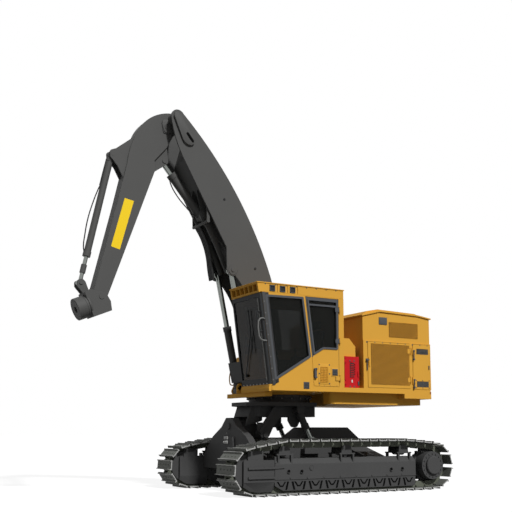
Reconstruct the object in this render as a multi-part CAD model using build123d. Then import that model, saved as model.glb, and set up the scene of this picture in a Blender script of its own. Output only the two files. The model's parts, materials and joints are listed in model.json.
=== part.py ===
"""Tracked forestry harvester: levelling undercarriage, slewing house with cab, and a folding arm with a wrist.

Millimetres. +X points forward, +Y to the operator's left, +Z up.
The origin is on the ground under the middle of the tracks, on the centre plane.
"""
import os
from math import acos, atan2, ceil, cos, hypot, pi, sin, tan

from build123d import *

# ---------------------------------------------------------------- tracks and track frames
TRACK_GAUGE = 2545            # centre to centre of the two tracks
SHOE_WIDTH = 655
SHOE_COUNT = 47
SHOE_THICK = 16
SHOE_GAP = 7                  # half the slot between neighbouring shoes
GROUSER_HEIGHT = 32
GROUSER_TIP = 14
GROUSER_ROOT = 34
BAND_THICK = 15               # link pads behind the shoes
LINK_TOP = 40                 # pin line to the back of the link pads
LINK_DEPTH = 55               # pin line to the running face of the rails
LINK_NOTCH = 20
LINK_FLAT = 0.2               # share of the pitch each side of a joint where the rail runs level
RAIL_WIDTH = 45
RAIL_SPACING = 180            # centre to centre of the two rails of one track
PIN_TO_TIP = LINK_TOP + BAND_THICK + SHOE_THICK + GROUSER_HEIGHT

IDLER_X = 1997
IDLER_WRAP = 327              # pin line radius round the front idler
SPROCKET_X = -1976
SPROCKET_WRAP = 353
CARRIER_XS = (1310, -10, -1330)
CARRIER_RADIUS = 75
CARRIER_SAG = 5               # the end carriers sit lower, where the links turn
TOP_RUN = 867                 # height of the pin line over the carrier rollers
ROLLER_COUNT = 9
ROLLER_RADIUS = 84
ROLLER_FIRST_X = 1390
ROLLER_LAST_X = -1430
RUNNING_CLEARANCE = 0
IDLER_CLEARANCE = 12.5           # the links cut the corner round the wheel

FRAME_HALF_WIDTH = 185
FRAME_BOTTOM = 335            # box section; the roller guards hang below it
GUARD_WINDOW_TOP = 274
FRAME_SHOULDER = 548
FRAME_TOP = 632
FRAME_TOP_HALF_WIDTH = 122
FRAME_FRONT_X = 1526
FRAME_REAR_X = -1586
GUARD_THICK = 22
GUARD_BOTTOM = 84
GUARD_BAR = 38                # plain bar left under the windows of the roller guard
GUARD_SLOT = 34               # width of the slanted slots beside each roller
CHEEK_REAR_X = 1540           # plates beside the idler
CHEEK_FRONT_X = 2140
CHEEK_TOP = 613
CHEEK_FOLD = 243              # below this the outer plate leans inwards
CHEEK_BOTTOM = 70
IDLER_BARS = (300, 462)       # undersides of the two rubbing bars
IDLER_BAR_HEIGHT = 34
CARRIER_SHELF = 690           # underside of the shelf that carries a carrier roller
CARRIER_SHELF_HALF = 170

# ---------------------------------------------------------------- car body and levelling gear
CAR_BODY_HALF_WIDTH = 415
CAR_BODY_BOTTOM = 400
CAR_BODY_TOP = 880
HUMP_HALF_WIDTH = 360
HUMP_TOP = 1176
ARM_BOTTOM = 400
ARM_TOP = 600
TOWER_REAR_X = 1500
TOWER_FRONT_X = 1640
TOWER_TOP = 1350
ROLL_AXIS_Z = 1190
ROLL_PIN_RADIUS = 60
PITCH_AXIS_X = 1106
PITCH_AXIS_Z = 1035
PITCH_PIN_RADIUS = 48
PIVOT_CLEARANCE = 0.05        # radial running clearance of pins in their bores
SIDE_CLEARANCE = 6            # gap beside ears and knuckles

SWING_X = 540
TABLE_TOP = 1640
TABLE_PLATE = 70
TABLE_SKIRT_BOTTOM = 1372
TABLE_SKIRT_THICK = 35
EAR_THICK = 60
EAR_Y = 400                   # centre of the V-shaped ears from the centre plane
BEARING_RADIUS = 620
BEARING_BORE = 470
BEARING_SPLIT = 1726
BEARING_GAP = 0.05
BEARING_TOP = 1778

LEVEL_CYL_Y = 470
LEVEL_TOP_PIN = (405, 1500)   # x, z
LEVEL_FOOT_PIN = (118, 930)
LEVEL_BARREL_RADIUS = 66
LEVEL_ROD_RADIUS = 42

# ---------------------------------------------------------------- house
DECK_BOTTOM = 1815
DECK_TOP = 1900
HOUSE_HALF_WIDTH = 1310
HOUSE_FRONT_X = 1500
SKIRT_FRONT_X = 1551
HOUSE_REAR_X = -2165
POCKET_REAR_X = 1010          # front edge of the deck under the arm
POCKET_RIGHT_Y = -640
BEAM_REAR_X = 1425
BEAM_RIGHT_Y = -350
BEAM_LEFT_Y = 1110
BEAM_TOP = 1800
BEAM_BOTTOM = 1722
RIGHT_FRONT_X = 850
BELLY_BOTTOM = 1605
BELLY_HALF_WIDTH = 1110
BELLY_FRONT_X = 100
BELLY_REAR_X = -2050
BELLY_CLEAR_RADIUS = 975      # round the swing axis, past the table's corners
CW_FRONT_X = -1490
CW_REAR_X = -2245
CW_BOTTOM = 1727

CAB_RIGHT_Y = 300
CAB_LEFT_Y = HOUSE_HALF_WIDTH
CAB_REAR_X = -70
CAB_WALL = 45
CAB_TOP = 3545
CAB_SILL = 1912
CAB_FRONT_BASE_X = 1479       # front wall at the sill
CAB_FRONT_HEAD_X = 1697       # front wall at the top
ROOF_TOP = 3720
ROOF_FRONT_X = 1786
ROOF_LIP = 18
VISOR_SLATS = 6
LAMP_XS = (1475, 1262, 1050)
LAMP_SIZE = 118
GLASS_THICK = 12
GLASS_SEAT = 4                # how far a pane stands off its frame
POST = 62                     # width of the grey window frames
DOOR_GAP = 6
CAB_DOOR_HINGE_X = 30
CAB_HINGE_ZS = (2060, 2750, 3330)

HOOD_FRONT_X = -515
HOOD_WALL = 30
HOOD_SIDE_TOP = 3290
HOOD_PEAK = HOOD_SIDE_TOP + 90
HOOD_SHEET = 24
HOOD_INSET = 18               # upper hood wall, inside the lower wall
HOOD_BOLT_ROW = 2805
ENGINE_DOOR = (-1640, -612, 1915, 2790)     # x rear, x front, z low, z high
COOLER_DOOR = (-2140, -1706, 1902, 2790)
UPPER_GRILLE = (-1861, -1149, HOOD_SIDE_TOP - 389, HOOD_SIDE_TOP - 102)
RIGHT_GRILLE = (-1640, -640, 1990, 2740)

# ---------------------------------------------------------------- arm
ARM_Y = -175                  # centre plane of the arm
BOOM_HALF_WIDTH = 360
BOOM_PLATE = 30
BOOM_FOOT = (740, 2230)       # x, z of the foot pin
BOOM_TIP = (2825, 6900)
HOIST_EYE = (1665, 4125)
HOIST_FOOT = (1190, 1880)
HOIST_OFFSET = 277            # each hoist cylinder from the arm's centre plane
HOIST_BARREL_RADIUS = 72
HOIST_ROD_RADIUS = 50
HOIST_BARREL_LENGTH = 1270
BRACKET_GAP = 12
BRACKET_PLATE = 40
FOOT_PIN_RADIUS = 55
EYE_PIN_RADIUS = 42

STICK_HALF_WIDTH = 140
STICK_PLATE = 20
STICK_EYE = (2977, 6100)      # rod eye of the stick cylinder
STICK_CYL_FOOT = (2166, 5150)
STICK_BARREL_RADIUS = 85
STICK_ROD_RADIUS = 52
STICK_BARREL_LENGTH = 985
STICK_EYE_HALF = 96           # half the width of the barrel's foot eye
TILT_HEAD = (3985, 6070)      # head pin of the wrist's tilt cylinder
TILT_EYE = (4509, 3670)
TILT_BARREL_RADIUS = 62
TILT_ROD_RADIUS = 36
TILT_BARREL_LENGTH = 1960
TILT_EYE_HALF = 74
TILT_PIN_RADIUS = 34
WRIST_PIN = (4165, 3440)
WRIST_PIN_RADIUS = 45
WRIST_PLATE = 34
FLANGE_DIRECTION = -22.8      # degrees below forward of the flange's axis
FLANGE_REACH = 262            # wrist pin to the flange's seat, along its axis
FLANGE_DROP = 69
FLANGE_RADIUS = 215
ROTATOR_RADIUS = 198
ROTATOR_LENGTH = 165
ROTATOR_BORE = 55
SPIGOT_RADIUS = 62            # wrist's spigot, in the turning flange
BOLT_CIRCLE = 320
BOLT_COUNT = 12
BOLT_HOLE_RADIUS = 9


# ---------------------------------------------------------------- shape helpers
def outline(points):
    """Closed face from (a, b) or (a, b, corner radius) points."""
    corners = [(point[0], point[1]) for point in points]
    radii = [point[2] if len(point) > 2 else 0 for point in points]
    return make_face(FilletPolyline(corners, radius=radii, close=True))


def side_prism(points, y_low, y_high):
    """Prism of an X-Z outline between two Y values."""
    return extrude(Plane.XZ.offset(-y_high) * outline(points), y_high - y_low)


def front_prism(points, x_low, x_high):
    """Prism of a Y-Z outline between two X values."""
    return extrude(Plane.YZ.offset(x_low) * outline(points), x_high - x_low)


def plan_prism(points, z_low, z_high):
    """Prism of an X-Y outline between two Z values."""
    return extrude(Plane.XY.offset(z_low) * outline(points), z_high - z_low)


def block(x_low, x_high, y_low, y_high, z_low, z_high):
    centre = ((x_low + x_high) / 2, (y_low + y_high) / 2, (z_low + z_high) / 2)
    return Pos(*centre) * Box(x_high - x_low, y_high - y_low, z_high - z_low)


def round_y(pin, radius, y_low, y_high):
    """Cylinder along Y at an (x, z) place."""
    plane = Plane(origin=(pin[0], y_low, pin[1]), z_dir=(0, 1, 0))
    return plane * Cylinder(radius, y_high - y_low, align=(Align.CENTER, Align.CENTER, Align.MIN))


def round_x(y, z, radius, x_low, x_high):
    plane = Plane(origin=(x_low, y, z), z_dir=(1, 0, 0))
    return plane * Cylinder(radius, x_high - x_low, align=(Align.CENTER, Align.CENTER, Align.MIN))


def round_z(x, y, radius, z_low, z_high):
    return Pos(x, y, z_low) * Cylinder(radius, z_high - z_low, align=(Align.CENTER, Align.CENTER, Align.MIN))


def shaft(start, end, y, radius, skip=0, stop=None):
    """Cylinder in an X-Z plane from start towards end, between two distances along the way."""
    length = hypot(end[0] - start[0], end[1] - start[1])
    direction = ((end[0] - start[0]) / length, 0, (end[1] - start[1]) / length)
    origin = (start[0] + direction[0] * skip, y, start[1] + direction[2] * skip)
    far = length if stop is None else stop
    plane = Plane(origin=origin, z_dir=direction)
    return plane * Cylinder(radius, far - skip, align=(Align.CENTER, Align.CENTER, Align.MIN))


def along(start, end, distance):
    """The (x, z) point at a distance from start towards end."""
    length = hypot(end[0] - start[0], end[1] - start[1])
    return (start[0] + (end[0] - start[0]) * distance / length,
            start[1] + (end[1] - start[1]) * distance / length)


def pin_caps(pin, radius, y, half):
    """Round caps of a pin on the outer faces of its two ears."""
    return round_y(pin, radius, y - half - 14, y - half + 1) + round_y(pin, radius, y + half - 1, y + half + 14)


HINGE_PIN_RADIUS = 6
HINGE_SET = 6                 # hinge line beside the door's opening
HINGE_REACH = 16              # hinge line out from the wall


def knuckle(x, face_y, z, radius, height):
    """Moving knuckle of a hinge, bored for its pin."""
    body = Pos(x, face_y + HINGE_REACH, z) * Cylinder(radius, height)
    return body - Pos(x, face_y + HINGE_REACH, z) * Cylinder(HINGE_PIN_RADIUS + PIVOT_CLEARANCE, height + 2)


def hinge_pin(x, face_y, z, height):
    """Fixed pin of a hinge on two small ears above and below the knuckle."""
    pin = Pos(x, face_y + HINGE_REACH, z) * Cylinder(HINGE_PIN_RADIUS, height + 30)
    for side in (-1, 1):
        ear_z = z + side * (height / 2 + 9)
        pin += block(x - 9, x + 9, face_y, face_y + HINGE_REACH + 8, ear_z - 6, ear_z + 6)
    return pin


def mirrored(shape):
    """The same shape on the other side of the machine's centre plane."""
    return mirror(shape, about=Plane.XZ)


def save(name, *shapes):
    solids = [solid for shape in shapes for solid in shape.solids()]
    export_step(Compound(children=solids) if len(solids) > 1 else solids[0], f"parts/{name}.step")


# ---------------------------------------------------------------- track loop
IDLER_Z = IDLER_WRAP + PIN_TO_TIP
SPROCKET_Z = SPROCKET_WRAP + PIN_TO_TIP
CARRIER_WRAP = CARRIER_RADIUS + RUNNING_CLEARANCE + LINK_DEPTH
CARRIER_Z = TOP_RUN - CARRIER_WRAP
TRACK_Y = TRACK_GAUGE / 2
ROLLER_Z = PIN_TO_TIP + LINK_DEPTH + ROLLER_RADIUS + RUNNING_CLEARANCE


def belt(wheels):
    """Runs of a belt round convex wheels (x, z, radius), as (length, point function) pairs."""
    count = len(wheels)
    normals = []
    for index in range(count):
        ax, az, ar = wheels[index]
        bx, bz, br = wheels[(index + 1) % count]
        distance = hypot(bx - ax, bz - az)
        heading = atan2(bz - az, bx - ax)
        normals.append(heading - acos((ar - br) / distance))
    runs = []
    for index in range(count):
        x, z, radius = wheels[index]
        start = normals[index - 1]
        sweep = (normals[index] - start) % (2 * pi)
        runs.append((radius * sweep, lambda s, x=x, z=z, r=radius, a=start: (
            x + r * cos(a + s / r), z + r * sin(a + s / r), a + s / r)))
        nx, nz, next_radius = wheels[(index + 1) % count]
        angle = normals[index]
        sx, sz = x + radius * cos(angle), z + radius * sin(angle)
        ex, ez = nx + next_radius * cos(angle), nz + next_radius * sin(angle)
        length = hypot(ex - sx, ez - sz)
        runs.append((length, lambda s, sx=sx, sz=sz, dx=(ex - sx) / length, dz=(ez - sz) / length, a=angle: (
            sx + dx * s, sz + dz * s, a)))
    return runs


def track_joints():
    """Link joints (x, z, outward angle), evenly spaced along the pin line."""
    wheels = [(IDLER_X, IDLER_Z, IDLER_WRAP), (CARRIER_XS[0], CARRIER_Z, CARRIER_WRAP),
              (CARRIER_XS[-1], CARRIER_Z, CARRIER_WRAP), (SPROCKET_X, SPROCKET_Z, SPROCKET_WRAP)]
    runs = belt(wheels)
    total = sum(length for length, _ in runs)
    joints = []
    for number in range(SHOE_COUNT):
        station = total * number / SHOE_COUNT
        for length, place in runs:
            if station <= length:
                break
            station -= length
        joints.append(place(station))
    return joints


def track(y):
    joints = track_joints()
    shoes, band, rail = [], [], []
    for number, (x, z, angle) in enumerate(joints):
        nx, nz, _ = joints[(number + 1) % SHOE_COUNT]
        length = hypot(nx - x, nz - z)
        tx, tz = (nx - x) / length, (nz - z) / length
        ox, oz = tz, -tx                      # outward normal of this shoe
        back = LINK_TOP + BAND_THICK
        face = back + SHOE_THICK
        profile = [(SHOE_GAP, face), (SHOE_GAP + GROUSER_TIP / 2, face + GROUSER_HEIGHT),
                   (SHOE_GAP + GROUSER_TIP * 1.5, face + GROUSER_HEIGHT),
                   (SHOE_GAP + GROUSER_ROOT, face), (length - SHOE_GAP, face)]
        root = (x + cos(angle) * back, z + sin(angle) * back)
        shoes.append(root)
        shoes += [(x + tx * a + ox * b, z + tz * a + oz * b) for a, b in profile]
        band.append((x + cos(angle) * LINK_TOP, z + sin(angle) * LINK_TOP))
        for share, depth in ((LINK_FLAT, LINK_DEPTH), (0.5, LINK_DEPTH - LINK_NOTCH), (1 - LINK_FLAT, LINK_DEPTH)):
            rail.append((x + tx * length * share - ox * depth, z + tz * length * share - oz * depth))
    half = SHOE_WIDTH / 2
    loop = side_prism(shoes, y - half, y + half) - side_prism(band, y - half - 1, y + half + 1)
    for side in (-1, 1):
        centre = y + side * RAIL_SPACING / 2
        low, high = centre - RAIL_WIDTH / 2, centre + RAIL_WIDTH / 2
        loop += side_prism(band, low, high) - side_prism(rail, low - 1, high + 1)
    return loop


def wheel(x, z, y, radius, half_width, flange, flange_half_width, bore=0):
    body = round_y((x, z), radius, y - half_width, y + half_width)
    body += round_y((x, z), flange, y - flange_half_width, y + flange_half_width)
    if bore:
        body -= round_y((x, z), bore, y - half_width - 1, y + half_width + 1)
    return body


RAIL_INNER_GAP = RAIL_SPACING / 2 - RAIL_WIDTH / 2
RAIL_OUTER = RAIL_SPACING / 2 + RAIL_WIDTH / 2


def idler(y):
    tread = IDLER_WRAP - LINK_DEPTH - IDLER_CLEARANCE
    rim = wheel(IDLER_X, IDLER_Z, y, tread, RAIL_OUTER + 8, tread + 38, RAIL_INNER_GAP - 8)
    for side in (-1, 1):
        low, high = sorted((y + side * 60, y + side * (RAIL_OUTER + 9)))
        rim -= (round_y((IDLER_X, IDLER_Z), tread - 45, low, high)
                - round_y((IDLER_X, IDLER_Z), 90, low - 1, high + 1))
    return rim + round_y((IDLER_X, IDLER_Z), 60, y - FRAME_HALF_WIDTH + GUARD_THICK, y + FRAME_HALF_WIDTH - GUARD_THICK)


def sprocket_outline(teeth, root, tip):
    points = []
    for tooth in range(teeth):
        for share, radius in ((-0.32, root), (-0.12, tip), (0.12, tip), (0.32, root)):
            angle = 2 * pi * (tooth + share) / teeth
            points.append((SPROCKET_X + radius * cos(angle), SPROCKET_Z + radius * sin(angle)))
    return points


def final_drive(y, outward):
    """Toothed ring between the rails, and the gear housing on the outer side."""
    teeth = side_prism(sprocket_outline(21, 300, 338), y - 30, y + 30)
    centre = (SPROCKET_X, SPROCKET_Z)
    low, high = sorted((y - outward * 120, y + outward * 238))
    drum = round_y(centre, 262, low, high)
    low, high = sorted((y + outward * 237, y + outward * 290))
    hub = chamfer(round_y(centre, 172, low, high).edges().filter_by(GeomType.CIRCLE), 14)
    drive = teeth + drum + hub
    for bolt in range(16):
        angle = 2 * pi * bolt / 16
        place = (centre[0] + 218 * cos(angle), centre[1] + 218 * sin(angle))
        low, high = sorted((y + outward * 236, y + outward * 252))
        drive += round_y(place, 13, low, high)
    low, high = sorted((y - outward * 119, y - outward * (FRAME_HALF_WIDTH - 30)))
    return drive + round_y(centre, 200, low, high)


CARRIER_CHEEK = 132            # inner face of the plates that hold a carrier roller's axle


def rollers(y):
    """Bottom rollers and carrier rollers on their axles."""
    parts = []
    spacing = (ROLLER_FIRST_X - ROLLER_LAST_X) / (ROLLER_COUNT - 1)
    inside = FRAME_HALF_WIDTH - GUARD_THICK
    for number in range(ROLLER_COUNT):
        x = ROLLER_FIRST_X - number * spacing
        body = round_y((x, ROLLER_Z), ROLLER_RADIUS, y - RAIL_OUTER - 6, y + RAIL_OUTER + 6)
        parts.append(body + round_y((x, ROLLER_Z), 45, y - inside, y + inside))
    for x, sag in zip(CARRIER_XS, (CARRIER_SAG, 0, CARRIER_SAG)):
        place = (x, CARRIER_Z - sag)
        body = round_y(place, CARRIER_RADIUS, y - RAIL_OUTER - 4, y + RAIL_OUTER + 4)
        body += round_y(place, 34, y - CARRIER_CHEEK, y + CARRIER_CHEEK)
        parts.append(body)
    return parts


def roller_guard(y_low, y_high):
    """Plate beside the rollers, with its front end curved up."""
    side = [(FRAME_REAR_X, GUARD_BOTTOM, 60), (1356, GUARD_BOTTOM, 90), (FRAME_FRONT_X, GUARD_BOTTOM + 92),
            (FRAME_FRONT_X, FRAME_BOTTOM), (FRAME_REAR_X, FRAME_BOTTOM)]
    return side_prism(side, y_low, y_high)


def guard_slots(y_low, y_high):
    """Openings of the outer guard: a V under each roller's axle and two slanted slots between rollers."""
    spacing = (ROLLER_FIRST_X - ROLLER_LAST_X) / (ROLLER_COUNT - 1)
    top, low_end, tip = GUARD_WINDOW_TOP - 34, GUARD_BOTTOM + GUARD_BAR / 2, ROLLER_Z - ROLLER_RADIUS
    openings = []
    for number in range(ROLLER_COUNT):
        x = ROLLER_FIRST_X - number * spacing
        vee = [(x + 92, top), (x + 30, tip), (x - 30, tip), (x - 92, top), (x - 66, top), (x - 20, tip + 20),
               (x + 20, tip + 20), (x + 66, top)]
        openings.append(side_prism(vee, y_low - 1, y_high + 1))
        middle = x - spacing / 2
        if number == ROLLER_COUNT - 1:
            break
        for side in (-1, 1):
            near, far = middle + side * 28, middle + side * 66
            slot = [(near, top), (near + side * GUARD_SLOT, top), (far + side * GUARD_SLOT, low_end), (far, low_end)]
            openings.append(side_prism(slot, y_low - 1, y_high + 1))
    return openings


def carrier_bracket(x, y, side, axle_z):
    """Shelf on two legs, with the rounded plate that holds one end of a carrier roller's axle."""
    low, high = sorted((y + side * CARRIER_CHEEK, y + side * FRAME_HALF_WIDTH))
    shelf = block(x - CARRIER_SHELF_HALF, x + CARRIER_SHELF_HALF, low, high, CARRIER_SHELF, CARRIER_SHELF + 24)
    for leg in (-1, 1):
        leg_x = x + leg * (CARRIER_SHELF_HALF - 36)
        shelf += block(leg_x - 17, leg_x + 17, low, high, FRAME_SHOULDER - 10, CARRIER_SHELF + 1)
    crown = [(x - 114, CARRIER_SHELF + 23), (x + 114, CARRIER_SHELF + 23), (x + 106, axle_z + 112, 75),
             (x - 106, axle_z + 112, 75)]
    low, high = sorted((y + side * CARRIER_CHEEK, y + side * (CARRIER_CHEEK + 28)))
    return shelf + side_prism(crown, low, high)


def idler_cheek(y, side):
    """Plate beside the idler: an upright tab, two rubbing bars and a lower edge that leans inwards."""
    half = FRAME_HALF_WIDTH
    low, high = sorted((y + side * (half - GUARD_THICK), y + side * (half + 14)))
    upper = [(CHEEK_REAR_X, CHEEK_FOLD), (CHEEK_FRONT_X, CHEEK_FOLD), (CHEEK_FRONT_X, CHEEK_TOP, 25),
             (CHEEK_REAR_X, CHEEK_TOP)]
    plate = side_prism(upper, low, high)
    plate += side_prism([(CHEEK_REAR_X - 60, 230), (CHEEK_REAR_X + 1, 230), (CHEEK_REAR_X + 1, CHEEK_TOP),
                         (CHEEK_REAR_X - 60, CHEEK_TOP - 40)], *sorted((y + side * (half - GUARD_THICK), y + side * half)))
    tab = [(1750, CHEEK_TOP - 1), (2051, CHEEK_TOP - 1), (2051, 762), (1750, 772)]
    plate += side_prism(tab, *sorted((y + side * (half - GUARD_THICK), y + side * half)))
    fold = [(y + side * (half + 14), CHEEK_FOLD + 1), (y + side * (half - 30), CHEEK_BOTTOM),
            (y + side * (half - 52), CHEEK_BOTTOM + 8), (y + side * (half - GUARD_THICK), CHEEK_FOLD + 1)]
    lower = front_prism(fold, CHEEK_REAR_X, CHEEK_FRONT_X)
    lower -= side_prism([(1850, CHEEK_BOTTOM - 30), (1850, CHEEK_BOTTOM), (2000, CHEEK_BOTTOM + 24), (2150, 175),
                         (2200, 175), (2200, CHEEK_BOTTOM - 30)], y - 400, y + 400)
    lower -= side_prism([(1500, CHEEK_BOTTOM - 30), (1620, CHEEK_BOTTOM - 30), (1500, 140)], y - 400, y + 400)
    plate += lower
    if side * y < 0:
        return plate
    low, high = sorted((y + side * (half - 1), y + side * (half + 44)))
    for z in IDLER_BARS:
        plate += block(CHEEK_REAR_X, 2060, low, high, z, z + IDLER_BAR_HEIGHT)
    z = IDLER_BARS[-1]
    tail = [(1335, z + 10), (CHEEK_REAR_X + 1, z), (CHEEK_REAR_X + 1, z + IDLER_BAR_HEIGHT), (1335, z + 22)]
    plate += side_prism(tail, *sorted((y + side * (half - 1), y + side * (half + 30))))
    low, high = sorted((y + side * (half - 70), y + side * (half + 14)))
    return plate + block(1498, 1534, low, high, FRAME_SHOULDER + 10, 668)


def side_frame(y):
    half, top = FRAME_HALF_WIDTH, FRAME_TOP_HALF_WIDTH
    outward = 1 if y > 0 else -1
    section = [(y - half, FRAME_BOTTOM), (y + half, FRAME_BOTTOM), (y + half, FRAME_SHOULDER, 20),
               (y + top, FRAME_TOP), (y - top, FRAME_TOP), (y - half, FRAME_SHOULDER, 20)]
    frame = front_prism(section, FRAME_REAR_X, FRAME_FRONT_X)
    face = [(y + outward * (half - 1), GUARD_WINDOW_TOP), (y + outward * (half + 12), GUARD_WINDOW_TOP),
            (y + outward * (half + 12), FRAME_SHOULDER - 12), (y + outward * (half - 1), FRAME_SHOULDER - 2)]
    frame += front_prism(face, FRAME_REAR_X, FRAME_FRONT_X)
    socket = [(FRAME_REAR_X + 1, FRAME_BOTTOM - 40), (FRAME_REAR_X + 1, FRAME_TOP - 40),
              (FRAME_REAR_X - 150, FRAME_TOP - 40, 40), (SPROCKET_X + 150, FRAME_TOP - 90),
              (SPROCKET_X + 150, FRAME_BOTTOM - 40)]
    for side in (-1, 1):
        low, high = sorted((y + side * (half - GUARD_THICK), y + side * half))
        frame += roller_guard(low, high)
        if side == outward:
            for opening in guard_slots(low, high):
                frame -= opening
        frame += idler_cheek(y, side)
        for x, sag in zip(CARRIER_XS, (CARRIER_SAG, 0, CARRIER_SAG)):
            frame += carrier_bracket(x, y, side, CARRIER_Z - sag)
    low, high = sorted((y - outward * (half + 14), y - outward * (half - 30)))
    return frame + side_prism(socket, low, high)


# ---------------------------------------------------------------- car body and levelling gear
INNER_FACE = TRACK_Y - FRAME_HALF_WIDTH      # inner face of a track frame


def car_body():
    half = CAR_BODY_HALF_WIDTH
    hull = [(-1250, CAR_BODY_BOTTOM, 60), (1480, CAR_BODY_BOTTOM, 60), (1480, CAR_BODY_TOP - 60, 30),
            (1300, CAR_BODY_TOP), (-1180, CAR_BODY_TOP), (-1250, CAR_BODY_TOP - 90, 30)]
    body = side_prism(hull, -half, half)
    hump = [(-1200, CAR_BODY_TOP - 1), (420, CAR_BODY_TOP - 1), (-20, HUMP_TOP, 20), (-820, HUMP_TOP, 20)]
    body += side_prism(hump, -HUMP_HALF_WIDTH, HUMP_HALF_WIDTH)
    for low, high in ((-1240, -760), (1000, 1480)):
        arm = [(half - 1, ARM_BOTTOM), (INNER_FACE, ARM_BOTTOM - 60), (INNER_FACE, ARM_TOP), (half - 1, ARM_TOP + 190)]
        limb = front_prism(arm, low, high)
        body += limb + mirrored(limb)
    reach = INNER_FACE - 42
    tower = [(-reach, ARM_BOTTOM), (reach, ARM_BOTTOM), (reach, 640), (660, 1000), (300, 1180),
             (115, TOWER_TOP, 60), (-115, TOWER_TOP, 60), (-300, 1180), (-660, 1000), (-reach, 640)]
    front = front_prism(tower, TOWER_REAR_X, TOWER_FRONT_X)
    front += front_prism([(-330, ARM_BOTTOM + 40), (330, ARM_BOTTOM + 40), (210, 1000), (-210, 1000)],
                         TOWER_FRONT_X - 1, TOWER_FRONT_X + 45)
    front += block(1470, TOWER_REAR_X + 1, -reach, reach, ARM_BOTTOM, ARM_TOP)
    front -= round_x(0, ROLL_AXIS_Z, ROLL_PIN_RADIUS + PIVOT_CLEARANCE, TOWER_REAR_X - 1, TOWER_FRONT_X + 1)
    body += front
    foot_x, foot_z = LEVEL_FOOT_PIN
    ear = [(foot_x - 190, CAR_BODY_TOP - 120), (foot_x + 190, CAR_BODY_TOP - 120), (foot_x + 75, foot_z + 45, 60),
           (foot_x - 75, foot_z + 45, 60)]
    for inner in (EYE_HALF + SIDE_CLEARANCE, -EYE_HALF - SIDE_CLEARANCE - EAR_THICK / 2):
        lug = side_prism(ear, LEVEL_CYL_Y + inner, LEVEL_CYL_Y + inner + EAR_THICK / 2)
        body += lug + mirrored(lug)
    shelf = block(foot_x - 200, foot_x + 200, half - 10, LEVEL_CYL_Y + 90, CAR_BODY_TOP - 200, CAR_BODY_TOP - 110)
    body += shelf + mirrored(shelf)
    caps = pin_caps(LEVEL_FOOT_PIN, EYE_PIN_RADIUS, LEVEL_CYL_Y, EYE_HALF + SIDE_CLEARANCE + EAR_THICK / 2)
    return body + caps + mirrored(caps)


EYE_HALF = 42                 # half the width of a cylinder's eye


def levelling_yoke():
    """Cross piece: a fore-and-aft pin in the tower and a crosswise pin for the table's ears."""
    pin = round_x(0, ROLL_AXIS_Z, ROLL_PIN_RADIUS, 1290, TOWER_FRONT_X + 30)
    half = EAR_Y - EAR_THICK / 2 - SIDE_CLEARANCE
    body = block(1190, TOWER_REAR_X - SIDE_CLEARANCE, -120, 120, ROLL_AXIS_Z - 105, ROLL_AXIS_Z + 105)
    web = [(PITCH_AXIS_X, PITCH_AXIS_Z - 85), (1420, ROLL_AXIS_Z - 100), (1420, ROLL_AXIS_Z + 60),
           (PITCH_AXIS_X + 40, ROLL_AXIS_Z + 80, 60), (PITCH_AXIS_X - 70, PITCH_AXIS_Z + 40)]
    body += side_prism(web, -150, 150)
    pitch = (PITCH_AXIS_X, PITCH_AXIS_Z)
    body += round_y(pitch, 92, -half, half)
    body += round_y(pitch, PITCH_PIN_RADIUS, -EAR_Y - EAR_THICK / 2 - 20, EAR_Y + EAR_THICK / 2 + 20)
    return body + pin


TABLE_PLAN = [(1430, 290, 30), (1130, 620, 60), (80, 620, 80), (-110, 330, 60),
              (-110, -330, 60), (80, -620, 80), (1130, -620, 60), (1430, -290, 30)]


SKIRT_PLAN = [(1290, 250, 20), (1175, 372, 20), (-30, 372, 20), (-70, 330, 20),
              (-70, -330, 20), (-30, -372, 20), (1175, -372, 20), (1290, -250, 20)]


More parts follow.
